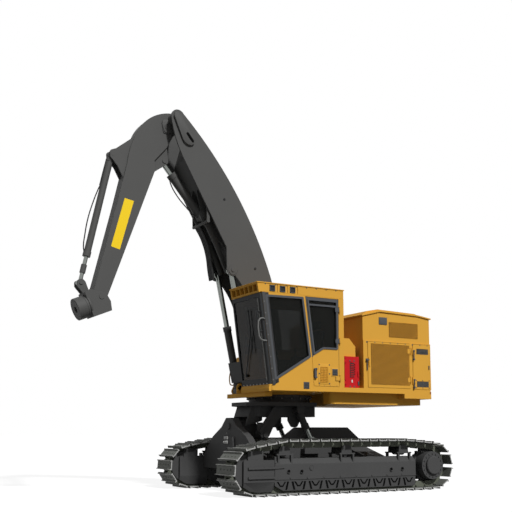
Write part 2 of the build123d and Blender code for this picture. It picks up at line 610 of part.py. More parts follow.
def levelling_table():
    plate_bottom = TABLE_TOP - TABLE_PLATE
    table = plan_prism(TABLE_PLAN, plate_bottom, TABLE_TOP)
    skirt_face = outline(SKIRT_PLAN)
    well_face = offset(skirt_face, amount=-TABLE_SKIRT_THICK)
    depth = plate_bottom - TABLE_SKIRT_BOTTOM + 1
    table += extrude(Plane.XY.offset(TABLE_SKIRT_BOTTOM) * (skirt_face - well_face), depth)
    table -= round_z(SWING_X, 0, 300, plate_bottom - 1, TABLE_TOP + 1)
    pitch = (PITCH_AXIS_X, PITCH_AXIS_Z)
    ear = [(905, plate_bottom + 1), (1118, 1262), (1252, 1262), (1252, 1080), (PITCH_AXIS_X + 80, PITCH_AXIS_Z - 45, 75),
           (PITCH_AXIS_X - 70, PITCH_AXIS_Z - 60, 75), (PITCH_AXIS_X - 160, 1150), (776, 1364), (700, TABLE_SKIRT_BOTTOM),
           (700, plate_bottom + 1)]
    strut = [(862, plate_bottom + 1), (926, plate_bottom + 1), (1250, 1085), (1200, 1058)]
    top_pin = LEVEL_TOP_PIN
    for side in (-1, 1):
        low, high = side * EAR_Y - EAR_THICK / 2, side * EAR_Y + EAR_THICK / 2
        table += side_prism(ear, low, high) - round_y(pitch, PITCH_PIN_RADIUS + PIVOT_CLEARANCE, low - 1, high + 1)
        low, high = sorted((side * (EAR_Y + EAR_THICK / 2 - 1), side * (EAR_Y + EAR_THICK / 2 + 36)))
        table += side_prism(strut, low, high)
        horn = [(300, plate_bottom + 1), (300, 1290), (360, 1175, 60), (470, 1175, 60), (550, 1300),
                (550, plate_bottom + 1)]
        low, high = sorted((side * 310, side * 362))
        table += side_prism(horn, low, high)
        hanger = [(top_pin[0] - 90, plate_bottom + 1), (top_pin[0] - 70, top_pin[1] - 70, 60),
                  (top_pin[0] + 70, top_pin[1] - 70, 60), (top_pin[0] + 90, plate_bottom + 1)]
        gap = LEVEL_BARREL_RADIUS + 9 + SIDE_CLEARANCE
        for inner in (gap, -gap - 20):
            low = side * LEVEL_CYL_Y + inner
            table += side_prism(hanger, low, low + 20)
        table += round_y(top_pin, EYE_PIN_RADIUS, side * LEVEL_CYL_Y - gap - 1, side * LEVEL_CYL_Y + gap + 1)
    return table + bearing_ring(TABLE_TOP, BEARING_SPLIT, BEARING_RADIUS - 30)


def bearing_ring(z_low, z_high, radius):
    ring = round_z(SWING_X, 0, radius, z_low, z_high)
    return ring - round_z(SWING_X, 0, BEARING_BORE, z_low - 1, z_high + 1)


def upper_ring():
    ring = bearing_ring(BEARING_SPLIT + BEARING_GAP, BEARING_TOP, BEARING_RADIUS)
    for bolt in range(24):
        angle = 2 * pi * (bolt + 0.5) / 24
        x, y = SWING_X + (BEARING_RADIUS + 6) * cos(angle), (BEARING_RADIUS + 6) * sin(angle)
        ring += round_z(x, y, 15, BEARING_SPLIT + 10, BEARING_SPLIT + 40)
    return ring


# ---------------------------------------------------------------- hydraulic cylinders
def barrel(foot, tip, y, radius, length, pin_radius, eye_radius, eye_half):
    """Cylinder barrel with its foot eye, end cap and gland nut."""
    body = shaft(foot, tip, y, radius, eye_radius * 0.75, length)
    body += shaft(foot, tip, y, radius + 9, length - 95, length)
    body += shaft(foot, tip, y, radius + 6, eye_radius * 1.2, eye_radius * 1.2 + 55)
    body += round_y(foot, eye_radius, y - eye_half, y + eye_half)
    wide = radius + eye_half
    return body - round_y(foot, pin_radius + PIVOT_CLEARANCE, y - wide, y + wide)


def rod(eye, foot, y, radius, reach, eye_radius):
    """Piston rod from its eye, with the pin in it, into the barrel."""
    body = shaft(eye, foot, y, radius, 0, reach)
    return body + round_y(eye, eye_radius, y - EYE_HALF, y + EYE_HALF)


ROD_BORE_CLEARANCE = 0.5


def cylinder_pair(foot, eye, y, barrel_radius, rod_radius, barrel_length, pin_radius, eye_radius, eye_half, reach):
    """A barrel and its rod; the rod's inner end lies reach short of the far end of the bore."""
    outer = barrel(foot, eye, y, barrel_radius, barrel_length, pin_radius, eye_radius, eye_half)
    span = hypot(eye[0] - foot[0], eye[1] - foot[1])
    bore_start = eye_radius * 1.2 + 60
    outer -= shaft(foot, eye, y, rod_radius + ROD_BORE_CLEARANCE, bore_start, barrel_length + 1)
    inner = rod(eye, foot, y, rod_radius, span - bore_start - reach, eye_radius)
    return outer, inner


# ---------------------------------------------------------------- house frame
DECK_PLAN = [(HOUSE_REAR_X, -HOUSE_HALF_WIDTH, 60), (HOUSE_REAR_X, HOUSE_HALF_WIDTH, 60),
             (HOUSE_FRONT_X, HOUSE_HALF_WIDTH, 40), (HOUSE_FRONT_X, CAB_RIGHT_Y - 45),
             (POCKET_REAR_X, CAB_RIGHT_Y - 45), (POCKET_REAR_X, POCKET_RIGHT_Y),
             (RIGHT_FRONT_X, POCKET_RIGHT_Y), (RIGHT_FRONT_X, -HOUSE_HALF_WIDTH, 40)]


def arm_bracket(y_low, y_high):
    """Upright plate that carries the boom's foot pin and the hoist cylinders' feet."""
    foot_x, foot_z = BOOM_FOOT
    toe_x, toe_z = HOIST_FOOT
    plate = [(340, DECK_TOP - 1), (foot_x - 150, foot_z + 60, 120), (foot_x - 40, foot_z + 165, 120),
             (foot_x + 150, foot_z + 110, 120), (toe_x + 40, toe_z + 105, 80), (toe_x + 110, toe_z - 30, 70),
             (toe_x + 10, toe_z - 92, 60), (POCKET_REAR_X - 1, DECK_BOTTOM), (POCKET_REAR_X - 1, DECK_TOP - 1)]
    return side_prism(plate, y_low, y_high)


def house_frame():
    frame = plan_prism(DECK_PLAN, DECK_BOTTOM, DECK_TOP)
    frame += plan_prism([(BEAM_REAR_X, BEAM_RIGHT_Y), (HOUSE_FRONT_X, BEAM_RIGHT_Y, 20),
                         (HOUSE_FRONT_X, BEAM_LEFT_Y, 40), (BEAM_REAR_X - 60, BEAM_LEFT_Y)],
                        BEAM_BOTTOM, BEAM_TOP)
    frame += block(BEAM_REAR_X - 60, HOUSE_FRONT_X - 30, CAB_RIGHT_Y - 45, BEAM_LEFT_Y - 50,
                   BEAM_TOP - 1, DECK_BOTTOM + 1)
    belly = plan_prism([(BELLY_FRONT_X, -BELLY_HALF_WIDTH, 80), (BELLY_FRONT_X, BELLY_HALF_WIDTH, 80),
                        (BELLY_REAR_X, BELLY_HALF_WIDTH), (BELLY_REAR_X, -BELLY_HALF_WIDTH)],
                       BELLY_BOTTOM, DECK_BOTTOM + 1)
    frame += belly - round_z(SWING_X, 0, BELLY_CLEAR_RADIUS, BELLY_BOTTOM - 1, DECK_BOTTOM)
    reach = BOOM_HALF_WIDTH + BRACKET_GAP
    for side in (-1, 1):
        low, high = sorted((ARM_Y + side * reach, ARM_Y + side * (reach + BRACKET_PLATE)))
        frame += arm_bracket(low, high)
    span = reach + BRACKET_PLATE + 14
    frame += round_y(HOIST_FOOT, EYE_PIN_RADIUS, ARM_Y - span, ARM_Y + span)
    frame += round_y(BOOM_FOOT, FOOT_PIN_RADIUS, ARM_Y - span, ARM_Y + span)
    plinth = round_z(SWING_X, 0, BEARING_RADIUS - 20, BEARING_TOP, DECK_BOTTOM + 1)
    plinth &= block(SWING_X - 900, POCKET_REAR_X, -900, 900, BEARING_TOP - 1, DECK_BOTTOM + 2)
    frame += plinth
    return frame - round_z(SWING_X, 0, 260, BEARING_TOP - 1, DECK_TOP + 1)


def counterweight():
    """Cast weight across the tail, with a lip along both sides and a curved back."""
    lip = [(CW_FRONT_X, -HOUSE_HALF_WIDTH), (CW_FRONT_X, HOUSE_HALF_WIDTH), (CW_REAR_X + 60, HOUSE_HALF_WIDTH, 60),
           (CW_REAR_X - 90, 500, 400), (CW_REAR_X - 90, -500, 400), (CW_REAR_X + 60, -HOUSE_HALF_WIDTH, 60)]
    weight = plan_prism(lip, CW_BOTTOM, DECK_TOP - 30)
    weight -= block(HOUSE_REAR_X, 0, -HOUSE_HALF_WIDTH - 1, HOUSE_HALF_WIDTH + 1, DECK_BOTTOM, DECK_TOP)
    weight -= block(BELLY_REAR_X, 0, -BELLY_HALF_WIDTH, BELLY_HALF_WIDTH, CW_BOTTOM - 1, DECK_TOP)
    tail = [(HOUSE_REAR_X, -HOUSE_HALF_WIDTH + 40), (HOUSE_REAR_X, HOUSE_HALF_WIDTH - 40),
            (CW_REAR_X + 30, HOUSE_HALF_WIDTH - 60, 60), (CW_REAR_X - 90, 500, 400),
            (CW_REAR_X - 90, -500, 400), (CW_REAR_X + 30, -HOUSE_HALF_WIDTH + 60, 60)]
    return weight + plan_prism(tail, DECK_BOTTOM, 2560)


# ---------------------------------------------------------------- cab
CAB_SIDE = [(CAB_REAR_X, DECK_TOP), (HOUSE_FRONT_X - 40, DECK_TOP - 0), (CAB_FRONT_BASE_X, CAB_SILL),
            (CAB_FRONT_HEAD_X, CAB_TOP), (CAB_REAR_X, CAB_TOP)]
FRONT_LEAN = (CAB_FRONT_HEAD_X - CAB_FRONT_BASE_X) / (CAB_TOP - CAB_SILL)


def front_x(z):
    """Front wall of the cab at a height."""
    return CAB_FRONT_BASE_X + (z - CAB_SILL) * FRONT_LEAN


# Windows and door, as X-Z outlines with corner radii
FRONT_WINDOW = [(front_x(3498) - POST, 3498, 25), (826, 3515, 25), (672, 2432, 25), (front_x(1985) - POST, 1985, 25)]
REAR_WINDOW = [(752, 3500, 25), (72, 3500, 25), (72, 2590, 25), (390, 2590, 60), (612, 2462, 25)]
DOOR_OPENING = [(44, 1908), (606, 1908), (640, 2430), (782, 3532), (44, 3532)]


def cab_shell():
    profile = [(CAB_REAR_X, DECK_TOP), (CAB_FRONT_BASE_X, DECK_TOP), (CAB_FRONT_BASE_X, CAB_SILL),
               (CAB_FRONT_HEAD_X, CAB_TOP), (CAB_REAR_X, CAB_TOP)]
    shell = side_prism(profile, CAB_RIGHT_Y, CAB_LEFT_Y)
    hollow = [(CAB_REAR_X + CAB_WALL, DECK_TOP + CAB_WALL), (front_x(DECK_TOP + CAB_WALL) + 200, DECK_TOP + CAB_WALL),
              (front_x(CAB_TOP) + 200, CAB_TOP - CAB_WALL), (CAB_REAR_X + CAB_WALL, CAB_TOP - CAB_WALL)]
    shell -= side_prism(hollow, CAB_RIGHT_Y + CAB_WALL, CAB_LEFT_Y - CAB_WALL)
    shell -= side_prism(FRONT_WINDOW, CAB_LEFT_Y - CAB_WALL - 1, CAB_LEFT_Y + 1)
    shell -= side_prism(DOOR_OPENING, CAB_LEFT_Y - CAB_WALL - 1, CAB_LEFT_Y + 1)
    right_window = [(1500, 3420, 40), (250, 3420, 40), (250, 2640, 40), (1380, 2640, 40)]
    shell -= side_prism(right_window, CAB_RIGHT_Y - 1, CAB_RIGHT_Y + CAB_WALL + 1)
    for z in CAB_HINGE_ZS:
        shell += hinge_pin(CAB_DOOR_HINGE_X, CAB_LEFT_Y, z, 92)
    return shell


def skirt():
    """Lower front panel of the cab, rolled under to the front beam."""
    profile = [(CAB_FRONT_BASE_X + 3, DECK_TOP), (CAB_FRONT_BASE_X + 3, CAB_SILL + 8), (SKIRT_FRONT_X - 14, CAB_SILL + 8, 14),
               (SKIRT_FRONT_X, DECK_BOTTOM + 40, 60), (SKIRT_FRONT_X - 6, BEAM_TOP), (HOUSE_FRONT_X, BEAM_TOP),
               (HOUSE_FRONT_X, DECK_TOP)]
    return side_prism(profile, CAB_RIGHT_Y, CAB_LEFT_Y)


def cab_roof():
    """Roof cap with an overhanging lid and a louvred visor over the windshield."""
    cap = [(CAB_REAR_X, CAB_TOP), (1752, CAB_TOP - 20), (ROOF_FRONT_X, ROOF_TOP - ROOF_LIP),
           (CAB_REAR_X, ROOF_TOP - ROOF_LIP)]
    roof = side_prism([cap[0], (CAB_FRONT_HEAD_X + 1, CAB_TOP), cap[1], cap[2], cap[3]], CAB_RIGHT_Y, CAB_LEFT_Y)
    lid = [(CAB_REAR_X - 12, ROOF_TOP - ROOF_LIP - 1), (ROOF_FRONT_X + 14, ROOF_TOP - ROOF_LIP - 1),
           (ROOF_FRONT_X + 14, ROOF_TOP), (CAB_REAR_X - 12, ROOF_TOP)]
    roof += side_prism(lid, CAB_RIGHT_Y - 12, CAB_LEFT_Y + 12)
    width = CAB_LEFT_Y - CAB_RIGHT_Y
    margin, slat = 48, 26
    pitch = (width - 2 * margin + slat) / (VISOR_SLATS + 0.0)
    for bay in range(VISOR_SLATS):
        low = CAB_RIGHT_Y + margin + bay * pitch
        roof -= block(1660, 1800, low, low + pitch - slat, CAB_TOP + 18, ROOF_TOP - 38)
    for x in LAMP_XS:
        half = LAMP_SIZE / 2
        roof -= block(x - half, x + half, CAB_LEFT_Y - 40, CAB_LEFT_Y + 1, 3562, 3562 + LAMP_SIZE)
        roof -= block(x - 112, x - 100, CAB_LEFT_Y - 14, CAB_LEFT_Y + 1, 3556, 3690)
    return roof


def side_lamps():
    lamps = []
    for x in LAMP_XS:
        half = LAMP_SIZE / 2 - 4
        frame = side_prism([(x - half, 3566, 24), (x + half, 3566, 24), (x + half, 3676, 24), (x - half, 3676, 24)],
                           CAB_LEFT_Y - 40, CAB_LEFT_Y + 8)
        frame -= side_prism([(x - half + 12, 3578, 16), (x + half - 12, 3578, 16), (x + half - 12, 3664, 16),
                             (x - half + 12, 3664, 16)], CAB_LEFT_Y - 6, CAB_LEFT_Y + 9)
        lamps.append(frame)
    return lamps


def ring(points, width, y_low, y_high):
    """Frame of constant width inside an outline."""
    outer = outline(points)
    return extrude(Plane.XZ.offset(-y_high) * (outer - offset(outer, amount=-width)), y_high - y_low)


def window_frames():
    """Grey frame of the front side window, standing proud of the wall."""
    return ring(FRONT_WINDOW, 40, CAB_LEFT_Y - 14, CAB_LEFT_Y + 16)


def windshield_frame():
    """Leaning front frame: posts, head and a deep bolted lower trim, with a pull handle."""
    depth = 46
    base, head = CAB_SILL + 10, CAB_TOP - 22

    def lean(x_offset, z):
        return (front_x(z) + x_offset, z)

    slab = [lean(1, base), lean(1, head), lean(1 + depth, head), lean(1 + depth, base)]
    frame = side_prism(slab, CAB_RIGHT_Y, CAB_LEFT_Y)
    opening = [lean(-5, base + 105), lean(-5, head - 70), lean(depth + 20, head - 70), lean(depth + 20, base + 105)]
    frame -= side_prism(opening, CAB_RIGHT_Y + 42, CAB_LEFT_Y - 78)
    bar = 13
    low, high = 2850, 3190
    handle_y = CAB_LEFT_Y - 40
    for z in (low, high):
        frame += Plane(origin=(front_x(z) + depth - 4, handle_y, z), z_dir=(1, 0, 0)) * Cylinder(
            bar, 92, align=(Align.CENTER, Align.CENTER, Align.MIN))
    start = (front_x(low) + depth + 84, low - bar)
    end = (front_x(high) + depth + 84, high + bar)
    frame += shaft(start, end, handle_y, bar)
    return frame


def cab_glass():
    """Fixed panes: windshield, front side window, right window."""
    base, head = CAB_SILL + 115, CAB_TOP - 92
    shield = [(front_x(base) + 18, base), (front_x(head) + 18, head), (front_x(head) + 18 + GLASS_THICK, head),
              (front_x(base) + 18 + GLASS_THICK, base)]
    panes = [side_prism(shield, CAB_RIGHT_Y + 42, CAB_LEFT_Y - 78)]
    face = offset(outline(FRONT_WINDOW), amount=-1)
    y = CAB_LEFT_Y - 22
    pane = extrude(Plane.XZ.offset(-y) * face, GLASS_THICK)
    panes.append(pane)
    right = [(1499, 3419), (251, 3419), (251, 2641), (1379, 2641)]
    panes.append(side_prism([(p[0], p[1], 39) for p in right], CAB_RIGHT_Y + 14, CAB_RIGHT_Y + 14 + GLASS_THICK))
    return panes


def cab_door():
    """Rear-hung door with its window, from sill to roof."""
    face = offset(outline(DOOR_OPENING), amount=-DOOR_GAP)
    door = extrude(Plane.XZ.offset(-CAB_LEFT_Y) * face, CAB_WALL)
    door -= side_prism(REAR_WINDOW, CAB_LEFT_Y - CAB_WALL - 1, CAB_LEFT_Y + 1)
    door += ring(REAR_WINDOW, 34, CAB_LEFT_Y - 20, CAB_LEFT_Y + 14)
    door += block(74, 720, CAB_LEFT_Y - 18, CAB_LEFT_Y + 10, 3372, 3404)
    handle = side_prism([(612, 2050, 30), (612, 2235, 30), (548, 2235, 30), (548, 2050, 30)],
                        CAB_LEFT_Y - 1, CAB_LEFT_Y + 42)
    handle -= side_prism([(594, 2076, 16), (594, 2209, 16), (540, 2209, 16), (540, 2076, 16)],
                         CAB_LEFT_Y + 14, CAB_LEFT_Y + 43)
    door += handle
    for z in CAB_HINGE_ZS:
        door += knuckle(CAB_DOOR_HINGE_X, CAB_LEFT_Y, z, 13, 90)
        door += block(CAB_DOOR_HINGE_X + 9, CAB_DOOR_HINGE_X + 100, CAB_LEFT_Y + 6, CAB_LEFT_Y + 16, z - 38, z + 38)
        door += block(CAB_DOOR_HINGE_X + 26, CAB_DOOR_HINGE_X + 96, CAB_LEFT_Y - 1, CAB_LEFT_Y + 7, z - 34, z + 34)
    return door


def door_glass():
    face = offset(outline(REAR_WINDOW), amount=-1)
    return extrude(Plane.XZ.offset(-(CAB_LEFT_Y - 22)) * face, GLASS_THICK)


def cab_interior():
    """Operator's seat on its pedestal with arm consoles, and the monitor on its stalk."""
    middle = (CAB_LEFT_Y + CAB_RIGHT_Y) / 2
    floor = DECK_TOP + CAB_WALL
    seat = block(430, 830, middle - 190, middle + 190, floor, 2180)
    seat += side_prism([(360, 2178), (960, 2178, 60), (980, 2330, 60), (380, 2300)], middle - 255, middle + 255)
    seat += side_prism([(400, 2260), (250, 3020, 60), (130, 3000, 60), (230, 2200, 60)], middle - 240, middle + 240)
    seat += side_prism([(262, 3016), (240, 3190, 50), (140, 3180, 50), (140, 2990)], middle - 140, middle + 140)
    for side in (-1, 1):
        low, high = sorted((middle + side * 262, middle + side * 380))
        seat += side_prism([(330, 2300), (960, 2380, 30), (960, 2450, 30), (330, 2440, 30)], low, high)
        low, high = sorted((middle + side * 250, middle + side * 270))
        seat += block(430, 560, low, high, 2190, 2330)
        seat += round_z(880, middle + side * 320, 22, 2420, 2600)
    seat += block(1120, 1160, CAB_RIGHT_Y + CAB_WALL + 40, CAB_RIGHT_Y + CAB_WALL + 330, 2560, 2800)
    seat_stalk = block(1100, 1150, CAB_RIGHT_Y + CAB_WALL + 160, CAB_RIGHT_Y + CAB_WALL + 210, floor, 2561)
    return seat + seat_stalk


# ---------------------------------------------------------------- hood
def hood_shell():
    """Engine enclosure: lower walls with door openings, inset upper walls, open to the roof."""
    half = HOUSE_HALF_WIDTH
    lower = block(HOUSE_REAR_X, HOOD_FRONT_X, -half, half, DECK_TOP, HOOD_BOLT_ROW)
    slope = [(HOUSE_REAR_X + 4, HOOD_BOLT_ROW - 1), (HOOD_FRONT_X - 4, HOOD_BOLT_ROW - 1),
             (HOOD_FRONT_X - 4, HOOD_SIDE_TOP - 24), (-918, HOOD_SIDE_TOP + 78), (-1861, HOOD_SIDE_TOP + 52),
             (HOUSE_REAR_X + 4, HOOD_SIDE_TOP + 8)]
    shell = lower + side_prism(slope, -half + HOOD_INSET, half - HOOD_INSET)
    wall = HOOD_WALL
    shell -= block(HOUSE_REAR_X + wall, HOOD_FRONT_X - wall, -half + wall, half - wall, DECK_TOP - 1, HOOD_BOLT_ROW)
    inner = [(HOUSE_REAR_X + wall, HOOD_BOLT_ROW - 1), (HOOD_FRONT_X - wall, HOOD_BOLT_ROW - 1),
             (HOOD_FRONT_X - wall, HOOD_SIDE_TOP + 200), (HOUSE_REAR_X + wall, HOOD_SIDE_TOP + 200)]
    shell -= side_prism(inner, -half + HOOD_INSET + wall, half - HOOD_INSET - wall)
    for low_x, high_x, low_z, high_z in (ENGINE_DOOR, COOLER_DOOR):
        shell -= block(low_x, high_x, half - wall - 1, half + 1, low_z, high_z)
    low_x, high_x, low_z, high_z = UPPER_GRILLE
    for side in (-1, 1):
        low, high = sorted((side * (half - HOOD_INSET - wall - 1), side * (half - HOOD_INSET + 1)))
        shell -= block(low_x, high_x, low, high, low_z, high_z)
    shell -= block(*RIGHT_GRILLE[:2], -half - 1, -half + wall + 1, *RIGHT_GRILLE[2:])
    for x, (low_z, high_z) in ((ENGINE_DOOR[0] - HINGE_SET, ENGINE_DOOR[2:]), (COOLER_DOOR[1] + HINGE_SET, COOLER_DOOR[2:])):
        for z in door_hinge_zs(low_z, high_z):
            shell += hinge_pin(x, half, z, 107)
    return shell


def slotted_panel(x_low, x_high, z_low, z_high, y_low, y_high, columns, rows, rim, bar):
    """Flat panel with a grid of upright slots."""
    panel = block(x_low, x_high, y_low, y_high, z_low, z_high)
    slot_width = (x_high - x_low - 2 * rim + bar) / columns - bar
    slot_height = (z_high - z_low - 2 * rim + bar) / rows - bar
    for column in range(columns):
        for row in range(rows):
            x = x_low + rim + column * (slot_width + bar)
            z = z_low + rim + row * (slot_height + bar)
            panel -= block(x, x + slot_width, y_low - 1, y_high + 1, z, z + slot_height)
    return panel


def hood_grilles():
    half = HOUSE_HALF_WIDTH
    x_low, x_high, z_low, z_high = UPPER_GRILLE
    face = half - HOOD_INSET
    upper = slotted_panel(x_low, x_high, z_low, z_high, face - 18, face - 2, 12, 1, 20, 14)
    small = slotted_panel(-1090, -905, 3140, 3262, face, face + 8, 4, 2, 14, 10)
    right = slotted_panel(*RIGHT_GRILLE, -half + 6, -half + 20, 16, 2, 40, 16)
    return [upper, mirrored(upper), small, right]


def hood_roof():
    """Folded roof sheet, sloped to front and rear, with a raised crown set in from its edges."""
    half = HOUSE_HALF_WIDTH - HOOD_INSET + 26
    front, rear = HOOD_FRONT_X + 22, HOUSE_REAR_X - 26
    under = [(rear, HOOD_SIDE_TOP + 7), (-1861, HOOD_SIDE_TOP + 53), (-918, HOOD_SIDE_TOP + 79),
             (front, HOOD_SIDE_TOP - 26)]
    skin = under + [(x, z + HOOD_SHEET) for x, z in reversed(under)]
    sheet = side_prism(skin, -half, half)
    crown = [(rear + 150, HOOD_SIDE_TOP + 20), (-918, HOOD_SIDE_TOP + 90), (front - 60, HOOD_SIDE_TOP + 2),
             (front - 170, HOOD_SIDE_TOP + 86, 30), (-930, HOOD_SIDE_TOP + 138), (-1850, HOOD_SIDE_TOP + 112),
             (rear + 230, HOOD_SIDE_TOP + 78, 30)]
    return sheet + side_prism(crown, -half + 90, half - 90)


def door_hinge_zs(z_low, z_high):
    return (z_low + 170, z_high - 150)


def mesh_door(x_low, x_high, z_low, z_high, windows, hinge_x, latch_x):
    """Side door: frame, slotted windows, hinge knuckles and a lever latch."""
    y = HOUSE_HALF_WIDTH
    door = block(x_low + DOOR_GAP, x_high - DOOR_GAP, y - HOOD_WALL, y + 6, z_low + DOOR_GAP, z_high - DOOR_GAP)
    for wx_low, wx_high, wz_low, wz_high, columns, rows in windows:
        door -= block(wx_low, wx_high, y - HOOD_WALL - 1, y + 7, wz_low, wz_high)
        door += slotted_panel(wx_low - 1, wx_high + 1, wz_low - 1, wz_high + 1, y - 10, y, columns, rows, 16, 16)
    for z in door_hinge_zs(z_low, z_high):
        door += knuckle(hinge_x, y, z, 12, 105)
        inward = 1 if hinge_x < (x_low + x_high) / 2 else -1
        low, high = sorted((hinge_x + inward * 8, hinge_x + inward * 70))
        door += block(low, high, y + 5, y + 14, z - 44, z + 44)
    if latch_x is not None:
        middle = z_low + 0.58 * (z_high - z_low)
        door += side_prism([(latch_x - 16, middle - 110, 12), (latch_x + 16, middle - 110, 12),
                            (latch_x + 22, middle + 70, 18), (latch_x - 22, middle + 70, 18)], y + 5, y + 26)
    return door


def engine_door():
    x_low, x_high, z_low, z_high = ENGINE_DOOR
    window = (x_low + 22, x_high - 78, z_low + 60, z_high - 40, 14, 2)
    return mesh_door(x_low, x_high, z_low, z_high, [window], x_low - HINGE_SET, x_high - 34)


def cooler_door():
    x_low, x_high, z_low, z_high = COOLER_DOOR
    windows = [(x_low + 46, x_high - 96, 2596, 2702, 5, 1), (x_low + 46, x_high - 96, 1956, 2066, 5, 1)]
    return mesh_door(x_low, x_high, z_low, z_high, windows, x_high + HINGE_SET, None)


def engine_block():
    return block(-1640, -760, -470, 520, DECK_TOP, 2850)


def tank_box():
    """Chamfered tank behind the cab."""
    profile = [(CAB_REAR_X - 20, DECK_TOP), (CAB_REAR_X - 20, 2829, 20), (-268, 2829), (-408, 2680), (-408, DECK_TOP)]
    return side_prism(profile, 560, 1205)


CABINET = (-447, -112, DECK_TOP, 2486)
CABINET_FACE_Y = 1262
CABINET_HINGE_ZS = (1990, 2396)
CABINET_HINGE_NOTCH = 20


def cabinet():
    """Red service cabinet beside the tank, open at its door."""
    x_low, x_high, z_low, z_high = CABINET
    box = block(x_low, x_high, 1207, CABINET_FACE_Y - 14, z_low, z_high)
    box -= block(x_low + 20, x_high - 20, 1217, CABINET_FACE_Y, z_low + 20, z_high - 20)
    for z in CABINET_HINGE_ZS:
        box += block(x_high, x_high + 16, CABINET_FACE_Y - 30, CABINET_FACE_Y - 16, z - 44, z + 44)
        for side in (-1, 1):
            box += block(x_high, x_high + 16, CABINET_FACE_Y - 18, CABINET_FACE_Y + 8, z + side * 40 - 4, z + side * 40 + 4)
        box += Pos(x_high + 8, CABINET_FACE_Y, z) * Cylinder(HINGE_PIN_RADIUS, 80)
    return box


def cabinet_door():
    x_low, x_high, z_low, z_high = CABINET
    y = CABINET_FACE_Y
    door = block(x_low, x_high, y - 12, y, z_low, z_high)
    for row in range(5):
        for column in range(4):
            x = x_low + 92 + column * 34
            z = z_high - 340 + row * 44 + column * 16
            door -= block(x, x + 20, y - 13, y + 1, z, z + 24)
    door += block(x_low + 14, x_low + 40, y - 1, y + 16, 2110, 2210)
    for z in CABINET_HINGE_ZS:
        door -= block(x_high - CABINET_HINGE_NOTCH, x_high + 1, y - 13, y + 1, z - 52, z + 52)
        door += Pos(x_high + 8, y, z) * Cylinder(12, 60)
        door += block(x_high - 40, x_high + 8, y - 1, y + 8, z - 30, z + 30)
        door -= Pos(x_high + 8, y, z) * Cylinder(HINGE_PIN_RADIUS + PIVOT_CLEARANCE, 62)
    return door


def right_tank():
    """Fuel tank on the right side of the deck, with a filler neck."""
    profile = [(HOOD_FRONT_X + 30, DECK_TOP), (RIGHT_FRONT_X - 10, DECK_TOP), (RIGHT_FRONT_X - 10, 2520, 30),
               (RIGHT_FRONT_X - 100, 2620, 30), (HOOD_FRONT_X + 30, 2620)]
    tank = side_prism(profile, -HOUSE_HALF_WIDTH, -700)
    tank += round_z(200, -1100, 60, 2619, 2670)
    return tank + round_z(200, -1100, 72, 2669, 2700)


# ---------------------------------------------------------------- boom
def boom_plate_face():
    """Side plate: rounded tip, long curved back, hoist boss and the foot."""
    tip_x, tip_z = BOOM_TIP
    foot_x, foot_z = BOOM_FOOT
    eye_x, eye_z = HOIST_EYE
    back_start = (2718, 6972)
    line = ThreePointArc(back_start, (1590, 5598), (826, 4028))
    line += ThreePointArc((826, 4028), (640, 3200), (foot_x - 178, foot_z + 50))
    line += ThreePointArc((foot_x - 178, foot_z + 50), (foot_x, foot_z - 185), (foot_x + 178, foot_z + 50))
    line += Line((foot_x + 178, foot_z + 50), (1215, 3350))
    line += ThreePointArc((1215, 3350), (1420, 3790), (eye_x - 50, eye_z - 105))
    line += ThreePointArc((eye_x - 50, eye_z - 105), (eye_x + 92, eye_z - 72), (eye_x + 122, eye_z + 30))
    line += Line((eye_x + 122, eye_z + 30), (1800, 4550))
    line += Line((1800, 4550), (2687, 6101))
    line += ThreePointArc((2687, 6101), (2862, 6480), (2962, 6880))
    line += ThreePointArc((2962, 6880), (2870, 7028), back_start)
    return make_face(line)


def boom_core_face():
    """Box section between the plates, set back from the under edge and clear of the pins."""
    foot_x, foot_z = BOOM_FOOT
    line = ThreePointArc((2440, 6640), (1640, 5600), (850, 4020))
    line += ThreePointArc((850, 4020), (668, 3200), (foot_x - 130, foot_z + 190))
    line += Line((foot_x - 130, foot_z + 190), (foot_x + 150, foot_z + 190))
    line += Line((foot_x + 150, foot_z + 190), (1180, 3350))
    line += Line((1180, 3350), (1405, 4120))
    line += Line((1405, 4120), (1690, 4640))
    line += Line((1690, 4640), (2575, 6170))
    line += Line((2575, 6170), (2440, 6640))
    return make_face(line)


